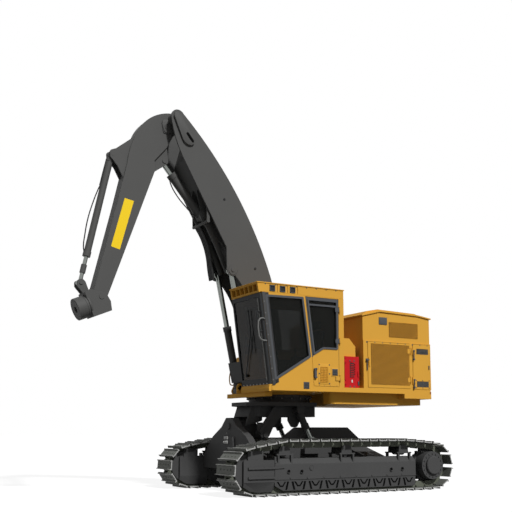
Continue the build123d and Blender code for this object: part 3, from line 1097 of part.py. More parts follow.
def boom():
    inner = BOOM_HALF_WIDTH - BOOM_PLATE
    body = Part()
    plate_face = boom_plate_face()
    for low in (ARM_Y - BOOM_HALF_WIDTH, ARM_Y + inner):
        body += extrude(Plane.XZ.offset(-low - BOOM_PLATE) * plate_face, BOOM_PLATE)
    core = boom_core_face()
    ring_face = core - offset(core, amount=-24)
    body += extrude(Plane.XZ.offset(-(ARM_Y + inner + 1)) * ring_face, 2 * inner + 2)
    span = BOOM_HALF_WIDTH
    tip_x, tip_z = BOOM_TIP
    doubler = [(tip_x + 100, tip_z + 20, 60), (tip_x + 40, tip_z + 105, 60), (tip_x - 60, tip_z + 40),
               (2486, 6465, 70), (2570, 6365, 70), (2700, 6400, 70)]
    slot = [(2643, 6616, 9), (2666, 6594, 9), (2546, 6452, 9), (2521, 6474, 9)]
    for side in (-1, 1):
        low, high = sorted((ARM_Y + side * (span - 1), ARM_Y + side * (span + 22)))
        body += side_prism(doubler, low, high)
        body -= side_prism(slot, low - 2, high + 2)
        body += round_y(HOIST_EYE, 92, *sorted((ARM_Y + side * (span - 1), ARM_Y + side * (span + 10))))
    body += round_y(BOOM_TIP, FOOT_PIN_RADIUS, ARM_Y - span - 30, ARM_Y + span + 30)
    body += pin_caps(HOIST_EYE, EYE_PIN_RADIUS, ARM_Y, span + 9)
    hub = round_y(BOOM_FOOT, 150, ARM_Y - span, ARM_Y + span)
    body += hub
    body -= round_y(BOOM_FOOT, FOOT_PIN_RADIUS + PIVOT_CLEARANCE, ARM_Y - span - 1, ARM_Y + span + 1)
    foot = STICK_CYL_FOOT
    lug = [(foot[0] + 60, foot[1] + 40, 50), (foot[0] + 70, foot[1] - 60, 50), (foot[0] - 60, foot[1] - 160),
           (1700, 4560), (1720, 4700), (2290, 5690), (2320, 5600)]
    gap = STICK_EYE_HALF + SIDE_CLEARANCE
    for inner_y in (gap, -gap - 26):
        body += side_prism(lug, ARM_Y + inner_y, ARM_Y + inner_y + 26)
    body += round_y(foot, EYE_PIN_RADIUS, ARM_Y - gap - 28, ARM_Y + gap + 28)
    strap = [(HOSE_TUBE[0] - 26, HOSE_TUBE[1] - 10), (HOSE_TUBE[0] + 26, HOSE_TUBE[1] - 10),
             (HOSE_TUBE[0] + 40, 5420), (HOSE_TUBE[0] - 40, 5460)]
    for low in (ARM_Y - 318, ARM_Y + 296):
        body += side_prism(strap, low, low + 22)
    return body + round_y(HOSE_TUBE, HOSE_TUBE_RADIUS, ARM_Y - 322, ARM_Y + 322)


# ---------------------------------------------------------------- stick
def stick_face():
    """Side of the stick: curved head round its pivot, long taper to the wrist."""
    wrist_x, wrist_z = WRIST_PIN
    line = ThreePointArc((2765, 7024), (3180, 6930), (3560, 6500))
    line += ThreePointArc((3560, 6500), (3660, 6250), (3720, 5940))
    line += Line((3720, 5940), (3898, 5161))
    line += Line((3898, 5161), (4290, 3560))
    line += Line((4290, 3560), (wrist_x + 100, wrist_z - 40))
    line += ThreePointArc((wrist_x + 100, wrist_z - 40), (wrist_x + 10, wrist_z - 106), (wrist_x - 96, wrist_z - 52))
    line += Line((wrist_x - 96, wrist_z - 52), (3621, 4636))
    line += Line((3621, 4636), (3186, 5856))
    line += Line((3186, 5856), (3196, 6060))
    line += Line((3196, 6060), (2955, 6345))
    line += Line((2955, 6345), (2815, 6605))
    line += ThreePointArc((2815, 6605), (2680, 6810), (2765, 7024))
    return make_face(line)


def stick():
    half = STICK_HALF_WIDTH
    outer = stick_face()
    body = extrude(Plane.XZ.offset(-(ARM_Y + half)) * outer, 2 * half)
    body -= extrude(Plane.XZ.offset(-(ARM_Y + half - STICK_PLATE)) * offset(outer, amount=-28), 2 * (half - STICK_PLATE))
    hub_half = BOOM_HALF_WIDTH - BOOM_PLATE - 2
    body += round_y(BOOM_TIP, 115, ARM_Y - hub_half, ARM_Y + hub_half)
    body -= round_y(BOOM_TIP, FOOT_PIN_RADIUS + PIVOT_CLEARANCE, ARM_Y - hub_half - 1, ARM_Y + hub_half + 1)
    body += round_y(WRIST_PIN, 95, ARM_Y - half, ARM_Y + half)
    body -= round_y(WRIST_PIN, WRIST_PIN_RADIUS + PIVOT_CLEARANCE, ARM_Y - half - 1, ARM_Y + half + 1)
    eye = STICK_EYE
    lug = [(2990, 6420), (2928, 6332, 25), (eye[0] - 82, eye[1] - 30, 60), (eye[0] + 6, eye[1] - 92, 60),
           (3196, 5852), (3230, 6060)]
    gap = STICK_ROD_RADIUS + SIDE_CLEARANCE
    for inner_y in (gap, -gap - 34):
        body += side_prism(lug, ARM_Y + inner_y, ARM_Y + inner_y + 34)
    body += pin_caps(eye, EYE_PIN_RADIUS, ARM_Y, gap + 34)
    head = TILT_HEAD
    gusset = [(3560, 6480), (head[0] - 50, head[1] + 105, 20), (head[0] + 62, head[1] + 60, 50),
              (head[0] + 50, head[1] - 60, 50), (head[0] - 90, head[1] - 210), (3730, 5560), (3700, 5620)]
    gap = TILT_EYE_HALF + SIDE_CLEARANCE
    for inner_y in (gap, -gap - 26):
        body += side_prism(gusset, ARM_Y + inner_y, ARM_Y + inner_y + 26)
    body += round_y(head, EYE_PIN_RADIUS, ARM_Y - gap - 28, ARM_Y + gap + 28)
    boss = round_y((2969, 6738), 40, ARM_Y + half - 1, ARM_Y + half + 8)
    pad = side_prism([(2850, 6880, 60), (3074, 6862, 60), (3030, 6615, 40), (2835, 6618, 40)],
                     ARM_Y + half - 1, ARM_Y + half + 14)
    return body + pad - boss


# ---------------------------------------------------------------- wrist
def flange_plane():
    """Plane on the flange's seat, with its Z axis out of the flange."""
    angle = FLANGE_DIRECTION * pi / 180
    nx, nz = cos(angle), sin(angle)
    x = WRIST_PIN[0] + FLANGE_REACH * nx + FLANGE_DROP * nz
    z = WRIST_PIN[1] + FLANGE_REACH * nz - FLANGE_DROP * nx
    return Plane(origin=(x, ARM_Y, z), x_dir=(0, 1, 0), z_dir=(nx, 0, nz))


def wrist():
    """Cast wrist: two cheeks outside the stick's end, a crank arm and the flange seat."""
    inner = STICK_HALF_WIDTH + SIDE_CLEARANCE
    seat = flange_plane()
    ux, uz = seat.z_dir.X, seat.z_dir.Z
    vx, vz = -uz, ux

    def place(a, b):
        """Point a along the flange's axis from the wrist pin and b up across it."""
        return (WRIST_PIN[0] + a * ux + b * vx, WRIST_PIN[1] + a * uz + b * vz)

    cheek = [place(-95, 55) + (70,), place(-130, -130) + (10,), place(-90, -290), place(FLANGE_REACH, -290),
             place(FLANGE_REACH, 165), place(150, 190) + (20,), place(40, 120) + (60,)]
    body = Part()
    for low in (ARM_Y - inner - WRIST_PLATE, ARM_Y + inner):
        body += side_prism(cheek, low, low + WRIST_PLATE)
    reach = inner + WRIST_PLATE
    bridge = [place(150, -288), place(FLANGE_REACH, -288), place(FLANGE_REACH, 164), place(196, 164), place(150, 60)]
    body += side_prism(bridge, ARM_Y - inner - 1, ARM_Y + inner + 1)
    eye = TILT_EYE
    crank = [(eye[0] - 78, eye[1] + 20, 50), (eye[0] - 20, eye[1] + 75, 50), (eye[0] + 75, eye[1] + 35, 50),
             (eye[0] + 70, eye[1] - 60, 50), place(FLANGE_REACH, 164), place(196, 164), place(150, 100)]
    for inner_y in (EYE_HALF + SIDE_CLEARANCE, -EYE_HALF - SIDE_CLEARANCE - 40):
        body += side_prism(crank, ARM_Y + inner_y, ARM_Y + inner_y + 40)
    body += pin_caps(eye, TILT_PIN_RADIUS, ARM_Y, EYE_HALF + SIDE_CLEARANCE + 40)
    body += seat * Pos(0, 0, -30) * Cylinder(FLANGE_RADIUS, 30, align=(Align.CENTER, Align.CENTER, Align.MIN))
    body += round_y(WRIST_PIN, WRIST_PIN_RADIUS, ARM_Y - reach - 10, ARM_Y + reach + 10)
    return body + seat * Pos(0, 0, -1) * Cylinder(SPIGOT_RADIUS, 61, align=(Align.CENTER, Align.CENTER, Align.MIN))


def rotator():
    """Stepped turning flange with a bolt circle and a hose bore."""
    seat = flange_plane()
    bottom = (Align.CENTER, Align.CENTER, Align.MIN)
    body = seat * Pos(0, 0, 3) * Cylinder(FLANGE_RADIUS - 12, 36, align=bottom)
    body += seat * Pos(0, 0, 38) * Cylinder(ROTATOR_RADIUS, ROTATOR_LENGTH, align=bottom)
    body -= seat * Pos(0, 0, 2) * Cylinder(SPIGOT_RADIUS + PIVOT_CLEARANCE, 62, align=bottom)
    face = 38 + ROTATOR_LENGTH
    body -= seat * Pos(0, 0, face - 80) * Cylinder(ROTATOR_BORE, 81, align=bottom)
    for bolt in range(BOLT_COUNT):
        angle = 2 * pi * bolt / BOLT_COUNT
        x, y = BOLT_CIRCLE / 2 * cos(angle), BOLT_CIRCLE / 2 * sin(angle)
        body -= seat * Pos(x, y, face - 40) * Cylinder(BOLT_HOLE_RADIUS, 41, align=bottom)
    return body


# ---------------------------------------------------------------- guard, handle and hoses
def hoist_guard():
    """Dark plate bolted to the front of both hoist barrels."""
    direction = along(HOIST_FOOT, HOIST_EYE, 1000)
    ux, uz = (direction[0] - HOIST_FOOT[0]) / 1000, (direction[1] - HOIST_FOOT[1]) / 1000
    nx, nz = uz, -ux

    def place(a, b):
        return (HOIST_FOOT[0] + a * ux + b * nx, HOIST_FOOT[1] + a * uz + b * nz)

    gap = HOIST_BARREL_RADIUS + 1
    plate = [place(170, gap), place(565, gap), place(565, gap + 12), place(170, gap + 12)]
    return side_prism(plate, ARM_Y - HOIST_OFFSET - 60, ARM_Y + HOIST_OFFSET + 60)


def tube(points, radius):
    """Round hose along straight runs joined by large tangent arcs."""
    radii = []
    for before, corner, after in zip(points, points[1:], points[2:]):
        first = (Vector(*corner) - Vector(*before))
        second = (Vector(*after) - Vector(*corner))
        turn = first.get_angle(second) * pi / 180
        radii.append(0.45 * min(first.length, second.length) / tan(turn / 2))
    path = FilletPolyline(points, radius=radii)
    start = Plane(origin=path @ 0, z_dir=path % 0)
    return sweep(start * Circle(radius), path=path)


HOSE_TUBE = (2166.6, 5015)     # cross tube that carries the hoses
HOSE_TUBE_RADIUS = 30
BOOM_HOSE_ROUTE = [(2150, 4990.04), (2050, 4840), (1962, 4640), (1905, 4420), (1880, 4190), (1840, 3990)]


def boom_hoses():
    """Four hoses under the boom, side by side, held by the plate's edge."""
    hoses = []
    for number in range(4):
        y = ARM_Y - 90 - number * 52
        hoses.append(tube([(x, y, z) for x, z in BOOM_HOSE_ROUTE], 22))
    return hoses


# ---------------------------------------------------------------- build
os.makedirs("parts", exist_ok=True)

save("track_left", track(TRACK_Y))
save("track_right", track(-TRACK_Y))
save("side_frame_left", side_frame(TRACK_Y))
save("side_frame_right", side_frame(-TRACK_Y))
save("idlers", idler(TRACK_Y), idler(-TRACK_Y))
save("final_drives", final_drive(TRACK_Y, 1), final_drive(-TRACK_Y, -1))
save("track_rollers", *rollers(TRACK_Y), *rollers(-TRACK_Y))
save("car_body", car_body())

save("levelling_yoke", levelling_yoke())
save("levelling_table", levelling_table())
level = [cylinder_pair(LEVEL_TOP_PIN, LEVEL_FOOT_PIN, y, LEVEL_BARREL_RADIUS, LEVEL_ROD_RADIUS,
                       400, EYE_PIN_RADIUS, 68, LEVEL_BARREL_RADIUS + 9, 50)
         for y in (LEVEL_CYL_Y, -LEVEL_CYL_Y)]
save("levelling_barrels", *[pair[0] for pair in level])
save("levelling_rods", *[pair[1] for pair in level])

save("bearing_upper_ring", upper_ring())
save("house_frame", house_frame())
save("counterweight", counterweight())
save("cab_shell", cab_shell(), skirt())
save("cab_roof", cab_roof())
save("side_lamps", *side_lamps())
save("window_frame", window_frames())
save("windshield_frame", windshield_frame())
save("cab_glass", *cab_glass())
save("cab_interior", cab_interior())
save("cab_door", cab_door())
save("cab_door_glass", door_glass())
save("hood_shell", hood_shell())
save("hood_grilles", *hood_grilles())
save("hood_roof", hood_roof())
save("engine_door", engine_door())
save("cooler_door", cooler_door())
save("engine_block", engine_block())
save("deck_tanks", tank_box(), right_tank())
save("cabinet", cabinet())
save("cabinet_door", cabinet_door())

save("boom", boom())
save("boom_hoses", *boom_hoses())
hoist = [cylinder_pair(HOIST_FOOT, HOIST_EYE, ARM_Y + side * HOIST_OFFSET, HOIST_BARREL_RADIUS, HOIST_ROD_RADIUS,
                       HOIST_BARREL_LENGTH, EYE_PIN_RADIUS, 80, HOIST_BARREL_RADIUS + 9, 900)
         for side in (-1, 1)]
save("hoist_barrels", *[pair[0] for pair in hoist])
save("hoist_rods", *[pair[1] for pair in hoist])
save("hoist_guard", hoist_guard())

save("stick", stick())
stick_barrel, stick_rod = cylinder_pair(STICK_CYL_FOOT, STICK_EYE, ARM_Y, STICK_BARREL_RADIUS, STICK_ROD_RADIUS,
                                        STICK_BARREL_LENGTH, EYE_PIN_RADIUS, 78, STICK_EYE_HALF, 40)
save("stick_barrel", stick_barrel)
save("stick_rod", stick_rod)
tilt_barrel, tilt_rod = cylinder_pair(TILT_HEAD, TILT_EYE, ARM_Y, TILT_BARREL_RADIUS, TILT_ROD_RADIUS,
                                      TILT_BARREL_LENGTH, EYE_PIN_RADIUS, 66, TILT_EYE_HALF, 120)
save("tilt_barrel", tilt_barrel)
save("tilt_rod", tilt_rod)
save("wrist", wrist())
save("rotator", rotator())
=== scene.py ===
"""Finish of a tracked forestry harvester: paint, screens, fasteners, hoses and the cab's seat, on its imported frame.

Metres. +X points forward, +Y to the operator's left, +Z up.
"""

import json
import math
from contextlib import contextmanager

import bmesh
import bpy
from mathutils import Matrix, Vector
from mathutils.geometry import intersect_point_line


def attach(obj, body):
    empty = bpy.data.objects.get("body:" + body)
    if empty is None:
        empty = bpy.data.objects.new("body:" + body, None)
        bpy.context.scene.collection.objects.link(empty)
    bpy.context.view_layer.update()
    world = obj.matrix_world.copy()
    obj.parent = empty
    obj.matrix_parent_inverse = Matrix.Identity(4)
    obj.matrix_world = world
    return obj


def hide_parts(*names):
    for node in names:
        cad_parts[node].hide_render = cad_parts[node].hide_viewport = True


bl_info = {
    "name": "Forestry harvester finish",
    "version": (1, 0, 0),
    "blender": (4, 5, 0),
    "location": "3D View > Sidebar > Harvester",
    "description": "Paint, screens, fasteners, hoses and seat for a tracked forestry harvester",
    "category": "Object",
}

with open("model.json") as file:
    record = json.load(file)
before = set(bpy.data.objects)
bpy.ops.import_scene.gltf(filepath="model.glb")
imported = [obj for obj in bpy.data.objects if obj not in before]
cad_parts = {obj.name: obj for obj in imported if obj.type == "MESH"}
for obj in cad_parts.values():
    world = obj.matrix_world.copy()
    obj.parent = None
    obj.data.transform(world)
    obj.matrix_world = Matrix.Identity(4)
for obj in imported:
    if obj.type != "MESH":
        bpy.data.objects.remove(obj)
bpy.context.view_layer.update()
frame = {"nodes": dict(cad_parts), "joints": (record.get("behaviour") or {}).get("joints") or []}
JOINTS = {joint["name"]: joint for joint in frame["joints"]}

# ---- places taken from the frame
ARM_Y = JOINTS["boom_lift"]["pos_m"][1]  # middle of the arm
STICK_FOOT = Vector(JOINTS["stick_cylinder_turn"]["pos_m"])
SWING = Vector(JOINTS["house_swing"]["pos_m"])

# ---- faces that the added pieces sit on
HOUSE_SIDE = 1.310  # flat of the cab's left wall and of the lower hood
UPPER_SIDE = 1.2965  # upper hood
DOOR_FACE = 1.316  # slotted doors
SCREEN_FACE = 1.3155  # screens in those doors
CABINET_FACE = 1.262
BOOM_SIDE = 0.184
STICK_SIDE = -0.035
GUARD_FACE = 1.4695  # roller guards
SLOT_FACE = 1.4655  # bottoms of the slots in the guards
TOWER_FACE = 1.684
WINDSHIELD_LEAN = 0.1335  # forward per metre up
LEFT, RIGHT, UP, FORWARD = (0, 1, 0), (0, -1, 0), (0, 0, 1), (1, 0, 0)

# ---- view and light
CAMERA_PLACE = Vector((8.955, 13.731, 1.113))
CAMERA_TURN = math.radians(-119.91)
CAMERA_RISE = math.radians(6.73)
CAMERA_LENS = 58.26
CAMERA_SHIFT = 0.15
CAMERA_FAR = 500
SUN_STRENGTH = 3.35
SUN_WIDTH = math.radians(5)
SUN_PLACE = (-0.07, 0.73, 0.68)
SKY_STRENGTH = 0.24
FLOOR_SHADE = (0.20, 0.20, 0.20)
FLOOR_GLOW = 0.87  # added where the camera sees the floor
FLOOR_SIZE = 300
WHITE = (1.0, 1.0, 1.0)
BARE_RAYS = ("Is Camera Ray", "Is Glossy Ray", "Is Transmission Ray")


# ---- shaders
class Nodes:
    """A node tree and the means to add to it."""

    def __init__(self, tree):
        self.tree = tree

    def put(self, socket, value):
        if isinstance(value, bpy.types.NodeSocket):
            self.tree.links.new(value, socket)
        elif isinstance(value, (tuple, list)) and len(value) == 3 and socket.type == "RGBA":
            socket.default_value = (*value, 1.0)
        else:
            socket.default_value = value

    def node(self, kind, settings=None, inputs=None, output=0):
        """Adds a node and hands back one of its outputs."""
        made = self.tree.nodes.new(kind)
        for name, setting in (settings or {}).items():
            setattr(made, name, setting)
        for name, value in (inputs or {}).items():
            self.put(made.inputs[name], value)
        return made.outputs[output] if made.outputs else None

    def either(self, first, second):
        return self.node("ShaderNodeMath", {"operation": "MAXIMUM"}, {0: first, 1: second})

    def split(self, shadowed, bare):
        """A shader for rays that light the machine, and another for rays that show what stands behind it."""
        camera, glossy, transmission = [self.node("ShaderNodeLightPath", output=ray) for ray in BARE_RAYS]
        seen = self.either(self.either(camera, glossy), transmission)
        return self.node("ShaderNodeMixShader", inputs={0: seen, 1: shadowed, 2: bare})


class Finish(Nodes):
    """One material, built from its nodes."""

    def __init__(self, name):
        self.material = bpy.data.materials.new(name)
        self.material.use_nodes = True
        super().__init__(self.material.node_tree)
        self.surface = self.tree.nodes["Principled BSDF"]
        self.output = self.tree.nodes["Material Output"]

    def set(self, **values):
        for name, value in values.items():
            self.put(self.surface.inputs[name.replace("_", " ")], value)
        return self

    def point(self):
        return self.node("ShaderNodeTexCoord", output="Object")

    def noise(self, scale, detail=2.0):
        return self.node("ShaderNodeTexNoise", inputs={"Vector": self.point(), "Scale": scale, "Detail": detail})

    def mix(self, amount, first, second):
        return self.node("ShaderNodeMix", {"data_type": "RGBA"}, {0: amount, 6: first, 7: second}, output=2)

    def bump(self, height, distance, strength=1.0):
        return self.node("ShaderNodeBump", inputs={"Height": height, "Distance": distance, "Strength": strength})


def colour(default, name, description):
    return bpy.props.FloatVectorProperty(name=name, description=description, subtype="COLOR", size=3, min=0.0,
                                         max=1.0, default=default)


def length(default, name, description):
    return bpy.props.FloatProperty(name=name, description=description, unit="LENGTH", default=default)


class HarvesterColours(bpy.types.PropertyGroup):
    """Colours of the machine."""

    body: colour((0.63, 0.325, 0.042), "Body", "Yellow of the cab, hood and deck")
    arm: colour((0.076, 0.076, 0.074), "Arm", "Dark grey of the boom, stick and cylinders")
    carrier: colour((0.056, 0.056, 0.056), "Carrier", "Grey of the car body and track frames")
    shoes: colour((0.125, 0.130, 0.117), "Shoes", "Track steel away from the worn edges")
    links: colour((0.105, 0.113, 0.088), "Links", "Track links, dulled by soil")
    # Bright steel of the worn grouser tips and the grease block, and a painted highlight along the shoe ends.
    worn: colour((0.36, 0.36, 0.35), "Bright steel and highlight", "Bright steel on the grousers")
    windows: colour((0.075, 0.079, 0.086), "Window frames", "Grey of the frames and handles")
    trim: colour((0.022, 0.023, 0.024), "Trim", "Black of the lower windshield trim and the guard")
    cabinet: colour((0.48, 0.010, 0.013), "Cabinet", "Red of the service cabinet")
    rods: colour((0.22, 0.235, 0.22), "Rods", "Plated piston rods")
    label: colour((0.87, 0.60, 0.01), "Label", "Blank label on the stick")
    seat: colour((0.020, 0.020, 0.022), "Seat", "Seat fabric")


class HarvesterSizes(bpy.types.PropertyGroup):
    """Sizes of the added pieces."""

    edge: length(0.005, "Edge", "Rounding of plate edges")
    bolt: length(0.012, "Bolt", "Radius of the common bolt heads")
    mesh: length(0.021, "Mesh", "Spacing of the holes in the screens")
    hose: length(0.013, "Hose", "Radius of the large hoses")


# ---- finishes
def spread(shade, share):
    """A darker and a lighter shade, a share apart from the middle one."""
    return tuple(part * (1 - share) for part in shade), tuple(min(1.0, part * (1 + share)) for part in shade)


def painted(name, shade, roughness=0.6, vary=0.05):
    """Sprayed paint with a faint unevenness."""
    finish = Finish(name)
    cloud = finish.noise(1.7, 3.0)
    finish.set(Base_Color=finish.mix(cloud, *spread(shade, vary)), Roughness=roughness, Specular_IOR_Level=0.15)
    peel = finish.noise(90.0, 1.0)
    return finish.set(Normal=finish.bump(peel, 0.0004, 0.25)).material


def steel(name, shade, roughness=0.6, contrast=0.3):
    """Bare steel, blotched by soil and rubbing."""
    finish = Finish(name)
    grit = finish.noise(34.0, 4.0)
    finish.set(Base_Color=finish.mix(grit, *spread(shade, contrast)), Roughness=roughness, Specular_IOR_Level=0.2)
    return finish.set(Normal=finish.bump(grit, 0.002, 0.5)).material


def plain(name, shade, roughness=0.5, metallic=0.0, gloss=0.5, alpha=1.0):
    """One even shade."""
    return Finish(name).set(Base_Color=tuple(shade), Roughness=roughness, Metallic=metallic,
                            Specular_IOR_Level=gloss, Alpha=alpha).material


def woven(name, shade):
    """Coarse seat cloth."""
    finish = Finish(name)
    weave = finish.node("ShaderNodeTexWave", {"bands_direction": "DIAGONAL"},
                        {"Vector": finish.point(), "Scale": 180.0})
    finish.set(Base_Color=finish.mix(weave, tuple(part * 0.7 for part in shade), tuple(shade)), Roughness=0.9)
    return finish.set(Normal=finish.bump(weave, 0.0006, 0.6)).material


FINISHES = {}


class HARVESTER_OT_finishes(bpy.types.Operator):
    """Makes the paints, metals, glass and cloth"""

    bl_idname = "harvester.finishes"
    bl_label = "Finishes"

    def execute(self, context):
        shades = context.scene.harvester_colours
        FINISHES.update(
            body=painted("body yellow", shades.body),
            arm=painted("arm grey", shades.arm),
            carrier=painted("carrier grey", shades.carrier, 0.65, 0.12),
            shoes=steel("track steel", shades.shoes),
            links=steel("link steel", shades.links),
            worn=steel("worn steel", shades.worn, 0.45, 0.5),
            windows=painted("window frame grey", shades.windows),
            trim=painted("trim black", shades.trim),
            cabinet=painted("cabinet red", shades.cabinet, 0.5, 0.03),
            rods=plain("plated rod", shades.rods, 0.22, 1.0),
            engine=plain("engine casting", (0.10, 0.10, 0.10), 0.6),
            glass=plain("smoked glass", (0.006, 0.007, 0.006), 0.05, gloss=0.12, alpha=0.68),
            seat=woven("seat cloth", shades.seat),
            plastic=plain("dark plastic", (0.018, 0.018, 0.019), 0.55, gloss=0.2),
            hose=plain("rubber hose", (0.020, 0.020, 0.020), 0.6, gloss=0.2),
            label=plain("label yellow", shades.label, gloss=0.2),
            tag=plain("white tag", (0.62, 0.62, 0.60), gloss=0.2),
            # Near-black finish for sheets set in slots, bays, eyes and holes: painted shade.
            hollow=plain("dark recess", (0.006, 0.006, 0.006), 0.8, gloss=0.0),
            plate=plain("blank plate", (0.15, 0.15, 0.145), gloss=0.2),
            # Dark grey for the sheets and blocks behind screens and vents: painted shade.
            screen=plain("screen wire", (0.030, 0.030, 0.029), 0.6, gloss=0.15),
            bolt=plain("bolt steel", (0.075, 0.075, 0.072), gloss=0.3),
        )
        return {"FINISHED"}


FRAME_FINISHES = {
    "arm": ("boom", "hoist_barrels", "stick", "stick_barrel", "wrist", "tilt_barrel", "rotator"),
    "body": ("house_frame", "counterweight", "cab_shell", "cab_roof", "cab_door", "hood_shell", "hood_grilles",
             "hood_roof", "deck_tanks", "engine_door", "cooler_door"),
    "cabinet": ("cabinet", "cabinet_door"),
    "carrier": ("idlers", "final_drives", "track_rollers", "side_frame_left", "side_frame_right", "car_body",
                "levelling_yoke", "levelling_table", "levelling_barrels", "bearing_upper_ring"),
    "engine": ("engine_block",),
    "glass": ("cab_glass", "cab_door_glass"),
    "hose": ("boom_hoses",),
    "links": ("track_left", "track_right"),
    "plastic": ("cab_interior",),
    "rods": ("levelling_rods", "hoist_rods", "stick_rod", "tilt_rod"),
    "trim": ("side_lamps", "windshield_frame", "hoist_guard"),
    "windows": ("window_frame",),
}
NODE_FINISH = {name: finish for finish, names in FRAME_FINISHES.items() for name in names}
SHARP_NODES = ("cab_shell", "cab_roof", "house_frame", "counterweight", "hood_shell", "hood_roof", "deck_tanks",
               "boom", "stick", "wrist", "car_body", "levelling_table", "levelling_yoke", "engine_door",
               "cooler_door", "cab_door", "cabinet", "cabinet_door", "side_frame_left", "side_frame_right",
               "windshield_frame", "window_frame", "hoist_guard")
DOOR_WINDOW = ((0.752, 3.500), (0.072, 3.500), (0.072, 2.590), (0.390, 2.590), (0.612, 2.462))
DOOR_FRAME_HALF = 0.037  # half the width of the frame round the door's window
DOOR_FRAME_DEPTH = (1.288, 1.326)
DOOR_BAR_X, DOOR_BAR_Z = (0.06, 0.76), (3.36, 3.46)


def within(value, span):
    """Between a span's two ends."""
    return span[0] < value < span[1]


def on_ring(place):
    """Within the frame round the door's window, or its cross bar."""
    if not within(place.y, DOOR_FRAME_DEPTH):
        return False
    if within(place.x, DOOR_BAR_X) and within(place.z, DOOR_BAR_Z):
        return True
    spot = Vector((place.x, place.z))
    for first, last in zip(DOOR_WINDOW, DOOR_WINDOW[1:] + DOOR_WINDOW[:1]):
        share = min(1.0, max(0.0, intersect_point_line(spot, Vector(first), Vector(last))[1]))
        if (spot - Vector(first).lerp(Vector(last), share)).length < DOOR_FRAME_HALF:
            return True
    return False


def picked(name, finish, test):
    """Gives a second finish to the faces of a frame piece that pass a test of their middle."""
    piece = frame["nodes"][name]
    piece.data.materials.append(FINISHES[finish])
    last = len(piece.data.materials) - 1
    for face in piece.data.polygons:
        if test(face.center):
            face.material_index = last


class HARVESTER_OT_paint(bpy.types.Operator):
    """Paints the frame's pieces and softens their plate edges"""

    bl_idname = "harvester.paint"
    bl_label = "Paint the frame"

    def execute(self, context):
        edge = context.scene.harvester_sizes.edge
        for name, piece in frame["nodes"].items():
            skin(piece, NODE_FINISH[name])
            if name in SHARP_NODES:
                weld = piece.modifiers.new("weld", "WELD")
                weld.merge_threshold = 0.00005
                rounding = piece.modifiers.new("edges", "BEVEL")
                rounding.width = edge
                rounding.segments = 2
                rounding.limit_method = "ANGLE"
                rounding.angle_limit = math.radians(40)
                rounding.harden_normals = False
        picked("cab_door", "windows", lambda place: place.y > 1.3105 and (place.x > 0.5 or place.y < 1.325)
               or on_ring(place))
        picked("hood_grilles", "windows", lambda place: place.z > 3.13 and place.y > 1.2)
        picked("side_lamps", "windows", lambda place: place.y > HOUSE_SIDE)
        return {"FINISHED"}


# ---- modelling
def alone(piece):
    """Selects one piece and makes it active."""
    bpy.ops.object.select_all(action="DESELECT")
    piece.select_set(True)
    bpy.context.view_layer.objects.active = piece


def start(kind, name, scale=(1, 1, 1), **settings):
    """Adds a primitive at its size and place."""
    bpy.ops.object.select_all(action="DESELECT")
    getattr(bpy.ops.mesh, "primitive_" + kind + "_add")(**settings)
    piece = bpy.context.object
    piece.scale = scale
    piece.name = piece.data.name = name
    bpy.ops.object.transform_apply()
    return piece


@contextmanager
def editing(piece, kind="FACE"):
    """Edit mode on one piece."""
    alone(piece)
    bpy.ops.object.mode_set(mode="EDIT")
    bpy.ops.mesh.select_mode(type=kind)
    bpy.ops.mesh.select_all(action="DESELECT")
    yield piece
    bpy.ops.object.mode_set(mode="OBJECT")


def pick(piece, test, kind="faces"):
    """Selects the faces or edges that pass a test."""
    bpy.ops.mesh.select_all(action="DESELECT")
    mesh = bmesh.from_edit_mesh(piece.data)
    for item in getattr(mesh, kind):
        item.select_set(bool(test(item)))
    mesh.select_flush(True)
    bmesh.update_edit_mesh(piece.data)


def skin(piece, *finishes):
    """Sets a piece's materials."""
    piece.data.materials.clear()
    for finish in finishes:
        piece.data.materials.append(FINISHES[finish])
    return piece


def finished(piece, body, finish, smooth=35):
    """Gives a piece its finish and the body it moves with."""
    if finish:
        skin(piece, finish)
    alone(piece)
    bpy.ops.object.shade_smooth_by_angle(angle=math.radians(smooth))
    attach(piece, body)
    return piece


def joined(name, pieces):
    """One object of several."""
    bpy.ops.object.select_all(action="DESELECT")
    for piece in pieces:
        piece.select_set(True)
    bpy.context.view_layer.objects.active = pieces[0]
    if len(pieces) > 1:
        bpy.ops.object.join()
    whole = bpy.context.object
    whole.name = whole.data.name = name
    bpy.ops.object.transform_apply()
    return whole


def group(name, pieces, body, finish, smooth=35):
    """Joins pieces and finishes the whole."""
    return finished(joined(name, pieces), body, finish, smooth)


def copied(name, model, moves):
    """Copies of a model, each with its own mesh, joined."""
    pieces = []
    for move in moves:
        piece = model.copy()
        piece.data = model.data.copy()
        piece.matrix_world = move
        bpy.context.collection.objects.link(piece)
        pieces.append(piece)
    bpy.data.objects.remove(model)
    bpy.context.view_layer.update()
    return joined(name, pieces)


def facing(direction):
    """Turn that points a model's +Z along a direction."""
    return Vector(direction).to_track_quat("Z", "Y").to_matrix().to_4x4()


def bolts(name, places, direction, radius, height=None, washer=True):
    """Hexagon heads on washers, their seats at the places."""
    height = height or radius * 0.75
    model = start("cylinder", name, vertices=6, radius=radius, depth=height, location=(0, 0, height / 2))
    with editing(model):
        pick(model, lambda face: face.normal.z > 0.9)
        bpy.ops.mesh.bevel(offset=radius * 0.12, segments=1, affect="EDGES")
    if washer:
        under = start("cylinder", name, vertices=12, radius=radius * 1.35, depth=height * 0.25,
                      location=(0, 0, height * 0.125))
        with editing(under):
            pick(under, lambda face: face.normal.z > 0.9)
            bpy.ops.mesh.inset(thickness=radius * 0.1)
        model = joined(name, [model, under])
    turn = facing(direction)
    return copied(name, model, [Matrix.Translation(place) @ turn for place in places])


def bolted(name, places, direction, radius, body, finish="bolt", **more):
    """Bolt heads with their finish."""
    return finished(bolts(name, [Vector(place) for place in places], direction, radius, **more), body, finish)


